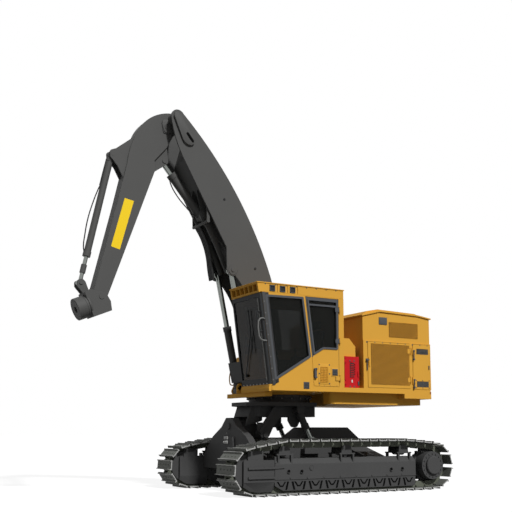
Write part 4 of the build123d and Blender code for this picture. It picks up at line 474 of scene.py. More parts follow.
def cuboid(name, low, high, edge=0.004, segments=2):
    """Block between two corners with rounded edges."""
    low, high = Vector(low), Vector(high)
    piece = start("cube", name, size=1, location=(low + high) / 2, scale=high - low)
    with editing(piece, "EDGE"):
        bpy.ops.mesh.select_all(action="SELECT")
        bpy.ops.mesh.bevel(offset=edge, segments=segments, affect="EDGES")
    return piece


def bar(name, first, last, radius, sides=16, edge=None):
    """Round bar between two points."""
    first, last = Vector(first), Vector(last)
    line = last - first
    piece = start("cylinder", name, vertices=sides, radius=radius, depth=line.length, location=(first + last) / 2,
                  rotation=line.to_track_quat("Z", "Y").to_euler())
    way = line.normalized()
    with editing(piece):
        pick(piece, lambda face: abs(face.normal.dot(way)) > 0.9)
        bpy.ops.mesh.bevel(offset=edge or radius * 0.2, segments=1, affect="EDGES")
    return piece


def sheet(name, corners, y, thickness):
    """Flat plate in the X-Z plane from its corners, growing towards +Y."""
    piece = start("circle", name, vertices=len(corners), radius=1, fill_type="NGON")
    for vertex, (x, z) in zip(piece.data.vertices, corners):
        vertex.co = (x, y, z)
    with editing(piece):
        bpy.ops.mesh.select_all(action="SELECT")
        bpy.ops.mesh.extrude_region_move(TRANSFORM_OT_translate={"value": (0, thickness, 0)})
        bpy.ops.mesh.select_all(action="SELECT")
        bpy.ops.mesh.normals_make_consistent(inside=False)
    return piece


def eased_sheet(name, corners, y, thickness, radius):
    """Flat plate in X-Z with eased outer edges."""
    piece = sheet(name, corners, y, thickness)
    with editing(piece, "EDGE"):
        pick(piece, lambda edge: all(vertex.co.y > y + thickness * 0.9 for vertex in edge.verts), "edges")
        bpy.ops.mesh.bevel(offset=radius, segments=2, affect="EDGES")
    return piece


def disc(name, x, z, y, thickness, radius, sides, edge=None):
    """Round boss on a side of the machine, standing out from y by a thickness, which may be negative."""
    return bar(name, (x, y, z), (x, y + thickness, z), radius, sides, edge)


def hose(name, points, radius, steps=8):
    """Round hose through points, smooth between them."""
    bpy.ops.object.select_all(action="DESELECT")
    bpy.ops.curve.primitive_bezier_curve_add(location=(0, 0, 0))
    line = bpy.context.object
    spline = line.data.splines[0]
    spline.bezier_points.add(len(points) - 2)
    for knot, place in zip(spline.bezier_points, points):
        knot.co = place
        knot.handle_left_type = knot.handle_right_type = "AUTO"
    line.data.bevel_depth = radius
    line.data.bevel_resolution = 2
    line.data.resolution_u = steps
    line.data.use_fill_caps = True
    bpy.ops.object.convert(target="MESH")
    piece = bpy.context.object
    piece.name = piece.data.name = name
    bpy.ops.object.transform_apply()
    return piece


def rectangle(x_low, x_high, z_low, z_high):
    """Corners (x, z) of an upright rectangle."""
    return [(x_low, z_low), (x_high, z_low), (x_high, z_high), (x_low, z_high)]


def row(first, last, count):
    """Evenly spaced places between two."""
    first, last = Vector(first), Vector(last)
    return [first.lerp(last, step / (count - 1)) for step in range(count)]


# ---- tracks
TRACK_Y = 1.2725
SHOE_HALF = 0.3275
GUARD_TIP = 0.1580  # lowest point of a track roller
SHOE_COUNT = 47
PIN_LINE = ((1.997, 0.430, 0.327), (1.310, 0.737, 0.130), (-1.330, 0.737, 0.130), (-1.976, 0.456, 0.353))
RAIL_NEAR, RAIL_FAR = 0.0675, 0.1125  # faces of a link from the track's middle


def pin_line():
    """Link pins (x, z) spaced evenly round the idler, the carrier rollers and the sprocket."""
    pairs = list(zip(PIN_LINE, PIN_LINE[1:] + PIN_LINE[:1]))
    turns = []
    for (x, z, radius), (next_x, next_z, next_radius) in pairs:
        heading = math.atan2(next_z - z, next_x - x)
        turns.append(heading - math.acos((radius - next_radius) / math.hypot(next_x - x, next_z - z)))
    runs = []
    for index, ((x, z, radius), (next_x, next_z, next_radius)) in enumerate(pairs):
        first, last = turns[index - 1], turns[index]
        runs.append((radius * ((last - first) % math.tau), lambda s, x=x, z=z, r=radius, a=first:
                     (x + r * math.cos(a + s / r), z + r * math.sin(a + s / r))))
        begin = Vector((x + radius * math.cos(last), z + radius * math.sin(last)))
        end = Vector((next_x + next_radius * math.cos(last), next_z + next_radius * math.sin(last)))
        runs.append(((end - begin).length, lambda s, a=begin, b=end: tuple(a + (b - a).normalized() * s)))
    total = sum(span for span, _ in runs)
    pins = []
    for number in range(SHOE_COUNT):
        station = total * number / SHOE_COUNT
        for span, place in runs:
            if station <= span:
                break
            station -= span
        pins.append(place(station))
    return pins, total / SHOE_COUNT


def track_link(pitch):
    """One shoe with two grousers and four bolts, on its pair of links, with their pin."""
    outline = [(0.012, 0.055), (0.012, 0.072), (0.015, 0.102), (0.025, 0.102), (0.034, 0.074),
               (pitch - 0.044, 0.074), (pitch - 0.035, 0.096), (pitch - 0.026, 0.096), (pitch - 0.017, 0.072),
               (pitch - 0.017, 0.055)]
    shoe = skin(sheet("shoe", outline, -SHOE_HALF, 2 * SHOE_HALF), "shoes", "worn")
    # Shoe ends take the bright steel as a painted highlight; the grouser tips are worn bright steel.
    for face in shoe.data.polygons:
        if abs(face.normal.y) > 0.9 or face.center.z > 0.094:
            face.material_index = 1
    side = [(0.005, -0.030), (0.026, -0.055), (pitch - 0.026, -0.055), (pitch - 0.005, -0.030),
            (pitch - 0.005, 0.034), (pitch - 0.024, 0.056), (0.024, 0.056), (0.005, 0.034)]
    pieces = [shoe]
    for low in (-RAIL_FAR, RAIL_NEAR):
        link = sheet("link", side, low, RAIL_FAR - RAIL_NEAR)
        with editing(link, "EDGE"):
            pick(link, lambda edge: abs((edge.verts[0].co - edge.verts[1].co).y) < 0.001, "edges")
            bpy.ops.mesh.bevel(offset=0.006, segments=1, affect="EDGES")
        pieces.append(skin(link, "links"))
    pieces.append(skin(bar("pin", (0, -RAIL_FAR - 0.006, 0), (0, RAIL_FAR + 0.006, 0), 0.021, 10), "links"))
    places = [Vector((pitch * 0.5, y, 0.073)) for y in (-0.18, -0.06, 0.06, 0.18)]
    pieces.append(skin(bolts("shoe_bolts", places, UP, 0.015, 0.011, washer=False), "shoes"))
    return joined("link", pieces)


class HARVESTER_OT_tracks(bpy.types.Operator):
    """Track chains with shoes, links, pins and bolts"""

    bl_idname = "harvester.tracks"
    bl_label = "Tracks"

    def execute(self, context):
        pins, pitch = pin_line()
        model = track_link(pitch)
        for y, side in ((TRACK_Y, "left"), (-TRACK_Y, "right")):
            moves = []
            for number, (x, z) in enumerate(pins):
                next_x, next_z = pins[(number + 1) % SHOE_COUNT]
                along = Vector((next_x - x, 0, next_z - z)).normalized()
                out = Vector((along.z, 0, -along.x))
                turn = Matrix((along, out.cross(along), out)).transposed().to_4x4()
                moves.append(Matrix.Translation((x, y, z)) @ turn)
            chain = model.copy()
            chain.data = model.data.copy()
            bpy.context.collection.objects.link(chain)
            piece = copied("track_chain_" + side, chain, moves)
            finished(piece, "undercarriage", None)
            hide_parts("track_" + side)
        bpy.data.objects.remove(model)
        return {"FINISHED"}


# ---- screens
def screen(name, x_low, x_high, z_low, z_high, y, body, spacing, wire=0.56, finish="body"):
    """Perforated body-coloured sheet in an X-Z window, over a dark sheet of painted shade that stands for the dark
    behind the holes. It faces the way y points.
    """
    wide, high = x_high - x_low, z_high - z_low
    way = 1 if y > 0 else -1
    piece = start("grid", name, x_subdivisions=round(wide / spacing), y_subdivisions=round(high / spacing), size=1,
                  location=((x_low + x_high) / 2, y, (z_low + z_high) / 2), rotation=(math.pi / 2, 0, 0),
                  scale=(wide, high, 1))
    wires = piece.modifiers.new("wires", "WIREFRAME")
    wires.thickness = spacing * wire
    wires.use_even_offset = False
    alone(piece)
    bpy.ops.object.modifier_apply(modifier="wires")
    corners = rectangle(x_low, x_high, z_low, z_high)
    # Dark sheet just behind the holes: painted shade.
    hole_shade_sheet = sheet(name + "_filter", corners, y - way * spacing * 0.22 - 0.001, 0.001)
    finished(hole_shade_sheet, body, "screen", 20)
    return finished(piece, body, finish, 20)


class HARVESTER_OT_screens(bpy.types.Operator):
    """Perforated sheets over the slots of the hood and its doors"""

    bl_idname = "harvester.screens"
    bl_label = "Screens"

    def execute(self, context):
        sizes = context.scene.harvester_sizes
        for name, x_low, x_high, z_low, z_high, y, body in (
                ("engine_screen", -1.618, -0.690, 1.975, 2.750, SCREEN_FACE, "engine_door"),
                ("upper_screen_left", -1.861, -1.149, 2.901, 3.188, UPPER_SIDE, "house"),
                ("upper_screen_right", -1.861, -1.149, 2.901, 3.188, -UPPER_SIDE, "house"),
                ("right_screen", -1.640, -0.640, 1.990, 2.740, -HOUSE_SIDE, "house")):
            screen(name, x_low, x_high, z_low, z_high, y, body, sizes.mesh)
        for name, z_low, z_high in (("cooler_screen_top", 2.596, 2.702), ("cooler_screen_low", 1.956, 2.066)):
            screen(name, -2.094, -1.802, z_low, z_high, SCREEN_FACE, "cooler_door", sizes.mesh * 1.15, 0.5, "plate")
        places = [(x, DOOR_FACE, z) for x in (-1.786, -1.945, -2.110) for z in (1.940, 2.082)]
        bolted("cooler_bolts", places, LEFT, sizes.bolt * 0.7, "cooler_door")
        return {"FINISHED"}


# ---- cab
PILLAR_SIDE = HOUSE_SIDE + 0.0005
FRONT_LUG = (1.519, 0.191, 1.916)  # right face of the lug on the deck, at its eye
VISOR_BAYS = 6
VISOR_START, VISOR_PITCH, VISOR_WIDTH = 0.348, 0.15667, 0.1297


def square_grille(name, x, z, y, half, body):
    """Small square vent: a bezel with upright and level ribs."""
    def block(part, across, up, wide, high, near, far, edge, segments=1):
        """Block about a spot across and up from the vent's middle, by its half sizes and its two faces."""
        return cuboid(part, (x + across - wide, y + near, z + up - high),
                      (x + across + wide, y + far, z + up + high), edge, segments)

    reach = half * 0.85
    # Dark block behind the ribs: painted shade.
    shade_panel = block(name + "_backing", 0, 0, half * 0.84, half * 0.84, 0, 0.0075, 0.001)
    finished(shade_panel, body, "screen", 20)
    pieces = [block(name, 0, 0, half, half, -0.004, 0.006, 0.003, 2)]
    for step in range(5):
        pieces.append(block(name, half * (0.39 * step - 0.78), 0, 0.005, reach, 0, 0.012, 0.002))
    for step in (-0.42, 0.42):
        pieces.append(block(name, 0, half * step, reach, 0.004, 0, 0.009, 0.002))
    return group(name, pieces, body, "windows", 30)


class HARVESTER_OT_cab(bpy.types.Operator):
    """Pillar cover, vents, handles, front lug, wiper and bolts of the cab"""

    bl_idname = "harvester.cab"
    bl_label = "Cab fittings"

    def execute(self, context):
        size = context.scene.harvester_sizes.bolt
        # The cover's darker carrier grey is partly the pillar's own grey and partly painted shade, as the real pillar
        # faces forward, away from the sun.
        corners = [(1.477, 1.905), (1.6955, 3.540), (1.630, 3.540), (1.412, 1.920), (1.436, 1.905)]
        cover = eased_sheet("pillar_cover", corners, PILLAR_SIDE, 0.013, 0.004)
        finished(cover, "house", "carrier")
        corners = [(1.418, 1.925), (1.632, 3.538), (1.560, 3.538), (1.345, 1.962)]
        seal = eased_sheet("pillar_seal", corners, PILLAR_SIDE, 0.008, 0.003)
        finished(seal, "house", "plastic")
        places = [(x, HOUSE_SIDE + 0.013, z) for x, z in (
            (1.651, 3.369), (1.624, 3.167), (1.599, 2.977), (1.573, 2.785), (1.548, 2.595), (1.522, 2.400),
            (1.494, 2.194), (1.469, 2.000))]
        bolted("pillar_bolts", places, LEFT, size * 0.75, "house", "plate")

        low, high = Vector((1.540, 1.238, 1.985)), Vector((1.732, 1.238, 3.425))
        finished(bar("windshield_rail", low, high, 0.014, 10), "house", "plate")
        way = Vector((1, 0, -WINDSHIELD_LEAN))
        places = [place + way * 0.012 for place in row(low.lerp(high, 0.03), low.lerp(high, 0.97), 8)]
        bolted("rail_bolts", places, way, size * 0.7, "house", "plate", washer=False)
        places = row((1.5275, 0.380, 1.934), (1.5275, 1.215, 1.934), 8)
        bolted("skirt_bolts", places, FORWARD, size * 0.9, "house", "tag")

        points = [(1.640, 1.300, 3.062), (1.655, 1.328, 3.066), (1.715, 1.330, 3.066), (1.762, 1.328, 3.025),
                  (1.772, 1.326, 2.965), (1.760, 1.326, 2.790), (1.738, 1.328, 2.720), (1.685, 1.330, 2.682),
                  (1.612, 1.328, 2.676), (1.598, 1.300, 2.674)]
        finished(hose("pillar_handle", points, 0.014), "house", "plate", 60)
        # Near-black blocks in the visor's bays: painted shade.
        bay_shades = []
        for bay in range(VISOR_BAYS):
            y = VISOR_START + bay * VISOR_PITCH
            bay_shades.append(cuboid("visor_bay", (1.6605, y + 0.001, 3.564), (1.668, y + VISOR_WIDTH, 3.681), 0.001, 1))
        group("visor_bays", bay_shades, "house", "hollow")
        points = [(1.300, -0.500, 2.234), (1.300, -0.528, 2.236), (1.326, -0.536, 2.224), (1.337, -0.536, 2.190),
                  (1.337, -0.536, 2.040), (1.322, -0.534, 2.002), (1.292, -0.528, 1.992), (1.270, -0.500, 1.990)]
        finished(hose("guard_loop", points, 0.011), "house", "body", 60)
        x, y, z = FRONT_LUG
        lug = [disc("front_lug", x, z, y, 0.034, 0.068, 28, 0.005),
               cuboid("front_lug_base", (x - 0.068, y, 1.800), (x + 0.068, y + 0.034, z), 0.003)]
        group("front_lugs", lug, "house", "body")
        # Near-black disc in the lug's eye: painted shade.
        finished(disc("lug_holes", x, z, y - 0.001, 0.036, 0.030, 20, 0.001), "house", "hollow")

        vent = rectangle(0.248, 0.508, 1.945, 2.320)
        finished(eased_sheet("vent_plate", vent, HOUSE_SIDE, 0.004, 0.0015), "cab_door", "body")
        screen("vent_screen", 0.304, 0.465, 1.985, 2.260, HOUSE_SIDE + 0.0095, "cab_door", 0.030, 0.30)
        places = [(x, HOUSE_SIDE + 0.004, z) for x in (0.266, 0.490) for z in (1.963, 2.140, 2.303)]
        bolted("vent_bolts", places, LEFT, size * 0.85, "cab_door")
        places = [(x, HOUSE_SIDE, 1.925) for x in (0.10, 0.25, 0.37, 0.49)]
        bolted("door_bolts", places, LEFT, size * 0.5, "cab_door", washer=False)
        ledge = rectangle(0.066, 0.222, 2.092, 2.252)
        finished(eased_sheet("grille_ledge", ledge, HOUSE_SIDE, 0.006, 0.002), "cab_door", "body")
        square_grille("door_grille", 0.144, 2.172, HOUSE_SIDE + 0.006, 0.060, "cab_door")
        square_grille("sill_grille", 0.766, 1.917, HOUSE_SIDE, 0.061, "house")

        points = [(1.500, 0.420, 2.520), (1.512, 0.440, 2.560), (1.500, 0.470, 2.640), (1.530, 0.455, 2.720),
                  (1.525, 0.450, 2.800)]
        lever = [hose("grab_lever", points, 0.019)]
        for place in ((1.525, 0.450, 2.810), (1.512, 0.452, 2.670), (1.500, 0.425, 2.540)):
            lever.append(start("uv_sphere", "grab_knob", segments=16, ring_count=10, radius=0.034, location=place))
        group("grab_lever", lever, "house", "windows", 60)

        arm = bar("wiper", (1.560, 0.520, 2.110), (1.664, 0.860, 2.860), 0.009, 10)
        blade = cuboid("wiper_blade", (-0.006, -0.006, -0.40), (0.010, 0.006, 0.40), 0.002, 1)
        lean = Matrix.Rotation(math.atan(WINDSHIELD_LEAN), 4, "Y")
        blade.matrix_world = Matrix.Translation((1.6665, 0.870, 2.880)) @ lean
        boss = bar("wiper_boss", (1.520, 0.520, 2.110), (1.572, 0.520, 2.103), 0.026, 16)
        group("wiper", [arm, blade, boss], "house", "trim", 40)
        return {"FINISHED"}


# ---- seat
SEAT_Y = 0.805
CLOTH_GRAIN = 0.012
CLOTH_PRESSURE = 4.0
CLOTH_STEPS = 14


def cushion(name, low, high, turn, crown):
    """Padded block: rounded, blown up by cloth, then smoothed."""
    low, high = Vector(low), Vector(high)
    size = high - low
    piece = start("cube", name, size=1, location=(0, 0, 0), scale=size - Vector((crown, crown, crown)))
    with editing(piece, "EDGE"):
        bpy.ops.mesh.select_all(action="SELECT")
        bpy.ops.mesh.bevel(offset=min(size) * 0.3, segments=3, affect="EDGES")
    remesh = piece.modifiers.new("remesh", "REMESH")
    remesh.mode = "VOXEL"
    remesh.voxel_size = CLOTH_GRAIN
    alone(piece)
    bpy.ops.object.modifier_apply(modifier="remesh")
    shape = [vertex.co.copy() for vertex in piece.data.vertices]
    cloth = piece.modifiers.new("cloth", "CLOTH")
    cloth.settings.use_pressure = True
    cloth.settings.uniform_pressure_force = CLOTH_PRESSURE
    cloth.settings.effector_weights.gravity = 0.0
    for step in range(CLOTH_STEPS):
        bpy.context.scene.frame_set(step + 1)
    bpy.ops.object.modifier_apply(modifier="cloth")
    for vertex, place in zip(piece.data.vertices, shape):
        moved = vertex.co - place
        if moved.length > crown * 0.5:
            vertex.co = place + moved * (crown * 0.5 / moved.length)
    bpy.context.scene.frame_set(1)
    piece.modifiers.new("smooth", "SMOOTH").iterations = 4
    bpy.ops.object.modifier_apply(modifier="smooth")
    piece.matrix_world = Matrix.Translation((low + high) / 2) @ Matrix.Rotation(turn, 4, "Y")
    alone(piece)
    bpy.ops.object.transform_apply()
    return finished(piece, "house", "seat", 80)


class HARVESTER_OT_seat(bpy.types.Operator):
    """Padded seat, consoles, joysticks and screen in the cab"""

    bl_idname = "harvester.seat"
    bl_label = "Seat and controls"

    def execute(self, context):
        pieces = [cuboid("seat_base", (0.43, SEAT_Y - 0.19, 1.945), (0.83, SEAT_Y + 0.19, 2.170), 0.03, 3)]
        for y in (SEAT_Y - 0.321, SEAT_Y + 0.321):
            pieces.append(cuboid("console", (0.33, y - 0.058, 2.300), (0.96, y + 0.058, 2.440), 0.025, 3))
            pieces.append(bar("stem", (0.88, y, 2.430), (0.885, y, 2.520), 0.010, 10))
            pieces.append(start("cone", "boot", vertices=20, radius1=0.036, radius2=0.014, depth=0.05,
                                location=(0.88, y, 2.462)))
            pieces.append(start("uv_sphere", "grip", segments=16, ring_count=10, radius=1,
                                location=(0.887, y, 2.560), scale=(0.021, 0.021, 0.052)))
        pieces.append(bar("stalk", (1.125, 0.530, 1.960), (1.125, 0.530, 2.600), 0.014, 12))
        pieces.append(cuboid("monitor", (1.122, 0.388, 2.562), (1.158, 0.672, 2.798), 0.010, 2))
        whole = group("cab_controls", pieces, "house", "plastic", 40)
        face = cuboid("monitor_face", (1.1185, 0.405, 2.580), (1.1225, 0.655, 2.780), 0.001, 1)
        finished(face, "house", "glass")
        pan = cushion("seat_pan", (0.36, SEAT_Y - 0.255, 2.185), (0.98, SEAT_Y + 0.255, 2.325), 0.0, 0.028)
        back = cushion("seat_back", (0.180, SEAT_Y - 0.238, 2.235), (0.315, SEAT_Y + 0.238, 3.005), -0.175, 0.028)
        rest = cushion("seat_headrest", (0.145, SEAT_Y - 0.138, 3.000), (0.240, SEAT_Y + 0.138, 3.170), -0.12, 0.02)
        for piece in (whole, face, pan, back, rest):
            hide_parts("cab_interior")
        return {"FINISHED"}


# ---- hood
class HARVESTER_OT_hood(bpy.types.Operator):
    """Latches, locks and louvres of the hood, its doors and the cabinet"""

    bl_idname = "harvester.hood"
    bl_label = "Hood fittings"

    def execute(self, context):
        y = DOOR_FACE
        plate = cuboid("latch_plate", (-0.612, y - 0.002, 2.395), (-0.566, y + 0.006, 2.460), 0.003)
        grip = disc("latch_grip", -0.590, 2.430, y, 0.040, 0.014, 16)
        handle = cuboid("latch_handle", (-0.622, y + 0.026, 2.418), (-0.556, y + 0.042, 2.444), 0.006)
        rod = bar("latch_rod", (-0.590, y + 0.010, 2.235), (-0.590, y + 0.010, 2.400), 0.009, 10)
        group("door_latch", [plate, grip, handle, rod], "engine_door", "windows")
        pieces = []
        for low, high in ((1.925, 2.100), (2.475, 2.665)):
            pieces.append(bar("hinge_bar", (-1.716, y + 0.028, low), (-1.716, y + 0.028, high), 0.011, 12))
            for z in (low + 0.012, high - 0.012):
                ear = cuboid("hinge_ear", (-1.736, y - 0.002, z - 0.018), (-1.702, y + 0.040, z + 0.018), 0.005)
                pieces.append(ear)
        pieces.append(cuboid("cooler_clip", (-2.120, y - 0.002, 2.300), (-2.098, y + 0.014, 2.380), 0.004))
        group("cooler_hinges", pieces, "cooler_door", "windows")

        y = CABINET_FACE
        louvre = []
        for step in range(8):
            slat = cuboid("louvre", (-0.040, -0.002, -0.009), (0.040, 0.010, 0.009), 0.003, 1)
            place = (-0.282, y, 2.105 + step * 0.033)
            slat.matrix_world = Matrix.Translation(place) @ Matrix.Rotation(-0.50, 4, "X")
            louvre.append(slat)
        group("cabinet_louvre", louvre, "cabinet_door", "cabinet")
        # Black sheet behind the louvre's slats, in the trim black: painted shade.
        shade_panel = cuboid("cabinet_backing", (-0.332, y - 0.001, 2.090), (-0.232, y + 0.002, 2.365), 0.001, 1)
        finished(shade_panel, "cabinet_door", "trim")
        places = [(x, y, z) for x in (-0.330, -0.236) for z in (1.925, 2.402)]
        bolted("cabinet_bolts", places, LEFT, context.scene.harvester_sizes.bolt, "cabinet_door")
        tag = cuboid("cabinet_tag", (-0.294, y - 0.002, 2.000), (-0.266, y + 0.006, 2.050), 0.002, 1)
        finished(tag, "cabinet_door", "tag")
        latch = cuboid("cabinet_latch", (-0.434, y, 1.950), (-0.408, y + 0.018, 2.024), 0.004)
        finished(latch, "cabinet_door", "windows")
        return {"FINISHED"}


# ---- arm
DOUBLER_YS = (0.207, -0.574)  # right faces of the plates on the boom's tip


class HARVESTER_OT_arm(bpy.types.Operator):
    """Label, hoses, bosses, side plates and weld of the boom and stick"""

    bl_idname = "harvester.arm"
    bl_label = "Arm fittings"

    def execute(self, context):
        radius = context.scene.harvester_sizes.hose * 0.9
        corners = [(3.762, 5.270), (3.586, 5.237), (3.836, 4.317), (4.000, 4.358)]
        finished(sheet("stick_label", corners, STICK_SIDE, 0.002), "stick", "label")
        points = [(4.170, -0.170, 5.500), (4.222, -0.160, 5.385), (4.318, -0.150, 5.120), (4.398, -0.150, 4.830),
                  (4.446, -0.150, 4.535), (4.462, -0.160, 4.312), (4.440, -0.170, 4.220)]
        pipe = [(4.071, -0.170, 5.986), (4.128, -0.170, 5.743), (4.187, -0.170, 5.480)]
        pieces = [hose("tilt_hose", points, radius), hose("tilt_pipe", pipe, radius)]
        group("tilt_hoses", pieces, "tilt_barrel", "hose", 60)
        points = [(2.833, -0.165, 5.803), (2.810, -0.160, 5.705), (2.685, -0.150, 5.496), (2.511, -0.150, 5.316),
                  (2.351, -0.160, 5.189), (2.252, -0.165, 5.143)]
        finished(hose("stick_hose", points, radius), "stick_barrel", "hose", 60)
        sleeve = bar("rod_sleeve", (4.4351, ARM_Y, 4.0085), (4.4692, ARM_Y, 3.8522), 0.052, 24, 0.006)
        finished(sleeve, "tilt_rod", "arm", 40)

        dots = [disc("boss", x, z, BOOM_SIDE, 0.016, wide, 16)
                for x, z, wide in ((1.853, 5.462, 0.022), (1.182, 4.194, 0.022), (0.930, 3.120, 0.020))]
        group("boom_bosses", dots, "boom", "trim")
        corners = [(2.922, 6.900), (2.905, 6.960), (2.862, 6.982), (2.800, 6.952), (2.765, 6.922), (2.508, 6.505),
                   (2.496, 6.455), (2.520, 6.408), (2.570, 6.382), (2.640, 6.388), (2.700, 6.424), (2.740, 6.475)]
        plates = [eased_sheet("tip_doubler", corners, y, 0.017, 0.005) for y in DOUBLER_YS]
        group("tip_doublers", plates, "boom", "arm")
        # Near-black sheets in the slots of the tip plates: painted shade.
        corners = [(2.650, 6.628), (2.678, 6.592), (2.668, 6.574), (2.610, 6.500), (2.552, 6.440), (2.528, 6.440),
                   (2.512, 6.474), (2.570, 6.542), (2.625, 6.612)]
        slots = [sheet("doubler_slot", corners, y - 0.001, 0.019) for y in DOUBLER_YS]
        group("doubler_slots", slots, "boom", "hollow", 20)
        corners = [(2.858, 6.858), (2.900, 6.880), (3.000, 6.880), (3.052, 6.850), (3.050, 6.750), (3.024, 6.650),
                   (2.990, 6.628), (2.880, 6.628), (2.850, 6.650), (2.846, 6.760)]
        pad = eased_sheet("stick_pad", corners, -0.022, 0.012, 0.004)
        eye = start("torus", "pad_eye", major_radius=0.052, minor_radius=0.009, major_segments=32, minor_segments=8,
                    location=(2.950, -0.009, 6.745), rotation=(math.pi / 2, 0, 0))
        group("stick_pad", [pad, eye], "stick", "arm", 40)
        mark = [(1.560, 0.186, 4.120), (1.585, 0.186, 4.050), (1.650, 0.186, 4.015), (1.725, 0.186, 4.040)]
        finished(hose("boom_weld", mark, 0.008), "boom", "arm", 60)
        return {"FINISHED"}


# ---- carrier
ROLLERS = 9
ROLLER_PITCH = 0.3525
FRONT_ROLLER_X = 1.390
SLOT_TOP, SLOT_FOOT = 0.240, 0.103  # height of the slots between the guards' ribs
# Thickness of the near-black sheets that paint shade into the guards' vees and slots.
SLOT_SHADE_THICKNESS = 0.014


class HARVESTER_OT_carrier(bpy.types.Operator):
    """Nose box, grease block, painted shade in the guard slots, idler discs, hood plate and the stick cylinder's lugs
    """

    bl_idname = "harvester.carrier"
    bl_label = "Carrier fittings"

    def execute(self, context):
        side = [(1.080, 1.572), (1.312, 1.572), (1.440, 1.200), (1.180, 1.262), (1.080, 1.300)]
        front = [(1.282, 1.572), (1.312, 1.572), (1.381, 1.372), (1.351, 1.372)]
        pieces = [eased_sheet("table_nose", side, y, 0.030, 0.006) for y in (0.250, -0.280)]
        pieces.append(eased_sheet("nose_front", front, -0.255, 0.510, 0.004))
        group("table_nose", pieces, "table", "carrier")

        pieces = [cuboid("grease_block", (TOWER_FACE, -0.070, 0.870), (1.716, 0.060, 0.930), 0.005),
                  cuboid("grease_cap", (TOWER_FACE, -0.070, 0.950), (1.712, 0.060, 1.005), 0.005)]
        for y in (-0.045, 0.035):
            pieces.append(bar("nipple", (1.700, y, 0.900), (1.734, y, 0.900), 0.016, 12))
        group("grease_block", pieces, "undercarriage", "worn")
        places = [(TOWER_FACE + 0.001, 0.0, z) for z in (1.065, 1.000, 0.780, 0.700)]
        bolted("tower_bolts", places, FORWARD, 0.014, "undercarriage")

        # Near-black sheets in each vee and slot of the roller guards: painted shade.
        for side, y in (("left", SLOT_FACE - SLOT_SHADE_THICKNESS), ("right", SLOT_SHADE_THICKNESS - SLOT_FACE)):
            shade_sheets = []
            for roller in range(ROLLERS):
                x = FRONT_ROLLER_X - roller * ROLLER_PITCH
                vee = [(x + 0.092, SLOT_TOP), (x + 0.030, GUARD_TIP), (x - 0.030, GUARD_TIP), (x - 0.092, SLOT_TOP),
                       (x - 0.066, SLOT_TOP), (x - 0.020, GUARD_TIP + 0.020), (x + 0.020, GUARD_TIP + 0.020),
                       (x + 0.066, SLOT_TOP)]
                shade_sheets.append(sheet("slot_liner", vee, y, SLOT_SHADE_THICKNESS))
                if roller == ROLLERS - 1:
                    break
                for way in (-1, 1):
                    near, far = [x - ROLLER_PITCH / 2 + way * offset for offset in (0.028, 0.066)]
                    slot = [(near, SLOT_TOP), (near + way * 0.034, SLOT_TOP), (far + way * 0.034, SLOT_FOOT),
                            (far, SLOT_FOOT)]
                    shade_sheets.append(sheet("slot_liner", slot, y, SLOT_SHADE_THICKNESS))
            group("slot_liners_" + side, shade_sheets, "undercarriage", "hollow", 20)

        discs = [disc("idler_disc", 1.997, 0.430, y + side * 0.120, side * 0.030, 0.300, 40, 0.010)
                 for y in (TRACK_Y, -TRACK_Y) for side in (-1, 1)]
        group("idler_discs", discs, "undercarriage", "carrier")
        plate = cuboid("hood_plate", (-1.100, UPPER_SIDE - 0.0005, 3.128), (-0.908, 1.303, 3.268), 0.003)
        finished(plate, "house", "windows")

        outline = [(2.279, 5.120), (2.268, 5.205), (2.215, 5.254), (2.150, 5.264), (2.090, 5.235), (2.056, 5.180),
                   (1.985, 4.960), (1.860, 4.640), (1.720, 4.330), (1.640, 4.110), (1.700, 4.090), (1.810, 4.330),
                   (1.960, 4.640), (2.120, 4.930)]
        lugs = [eased_sheet("cylinder_lug", outline, y, 0.040, 0.006) for y in (-0.068, -0.322)]
        x, y, z = STICK_FOOT
        for way in (-1, 1):
            lugs.append(disc("lug_boss", x, z, y + way * 0.147, way * 0.022, 0.078, 28, 0.006))
            lugs.append(disc("lug_pin", x, z, y + way * 0.147, way * 0.036, 0.045, 20, 0.005))
        group("cylinder_lugs", lugs, "boom", "arm")
        return {"FINISHED"}


# ---- fasteners
FRAME_EYES = ((1.253, 0.418), (0.985, 0.412), (-0.993, 0.405), (-1.260, 0.411))


def round_swing(count, offset, radius, z):
    """Places spaced evenly on a circle round the swing's axis."""
    angles = [math.tau * (number + offset) / count for number in range(count)]
    return [Vector((SWING.x + radius * math.cos(angle), SWING.y + radius * math.sin(angle), z)) for angle in angles]


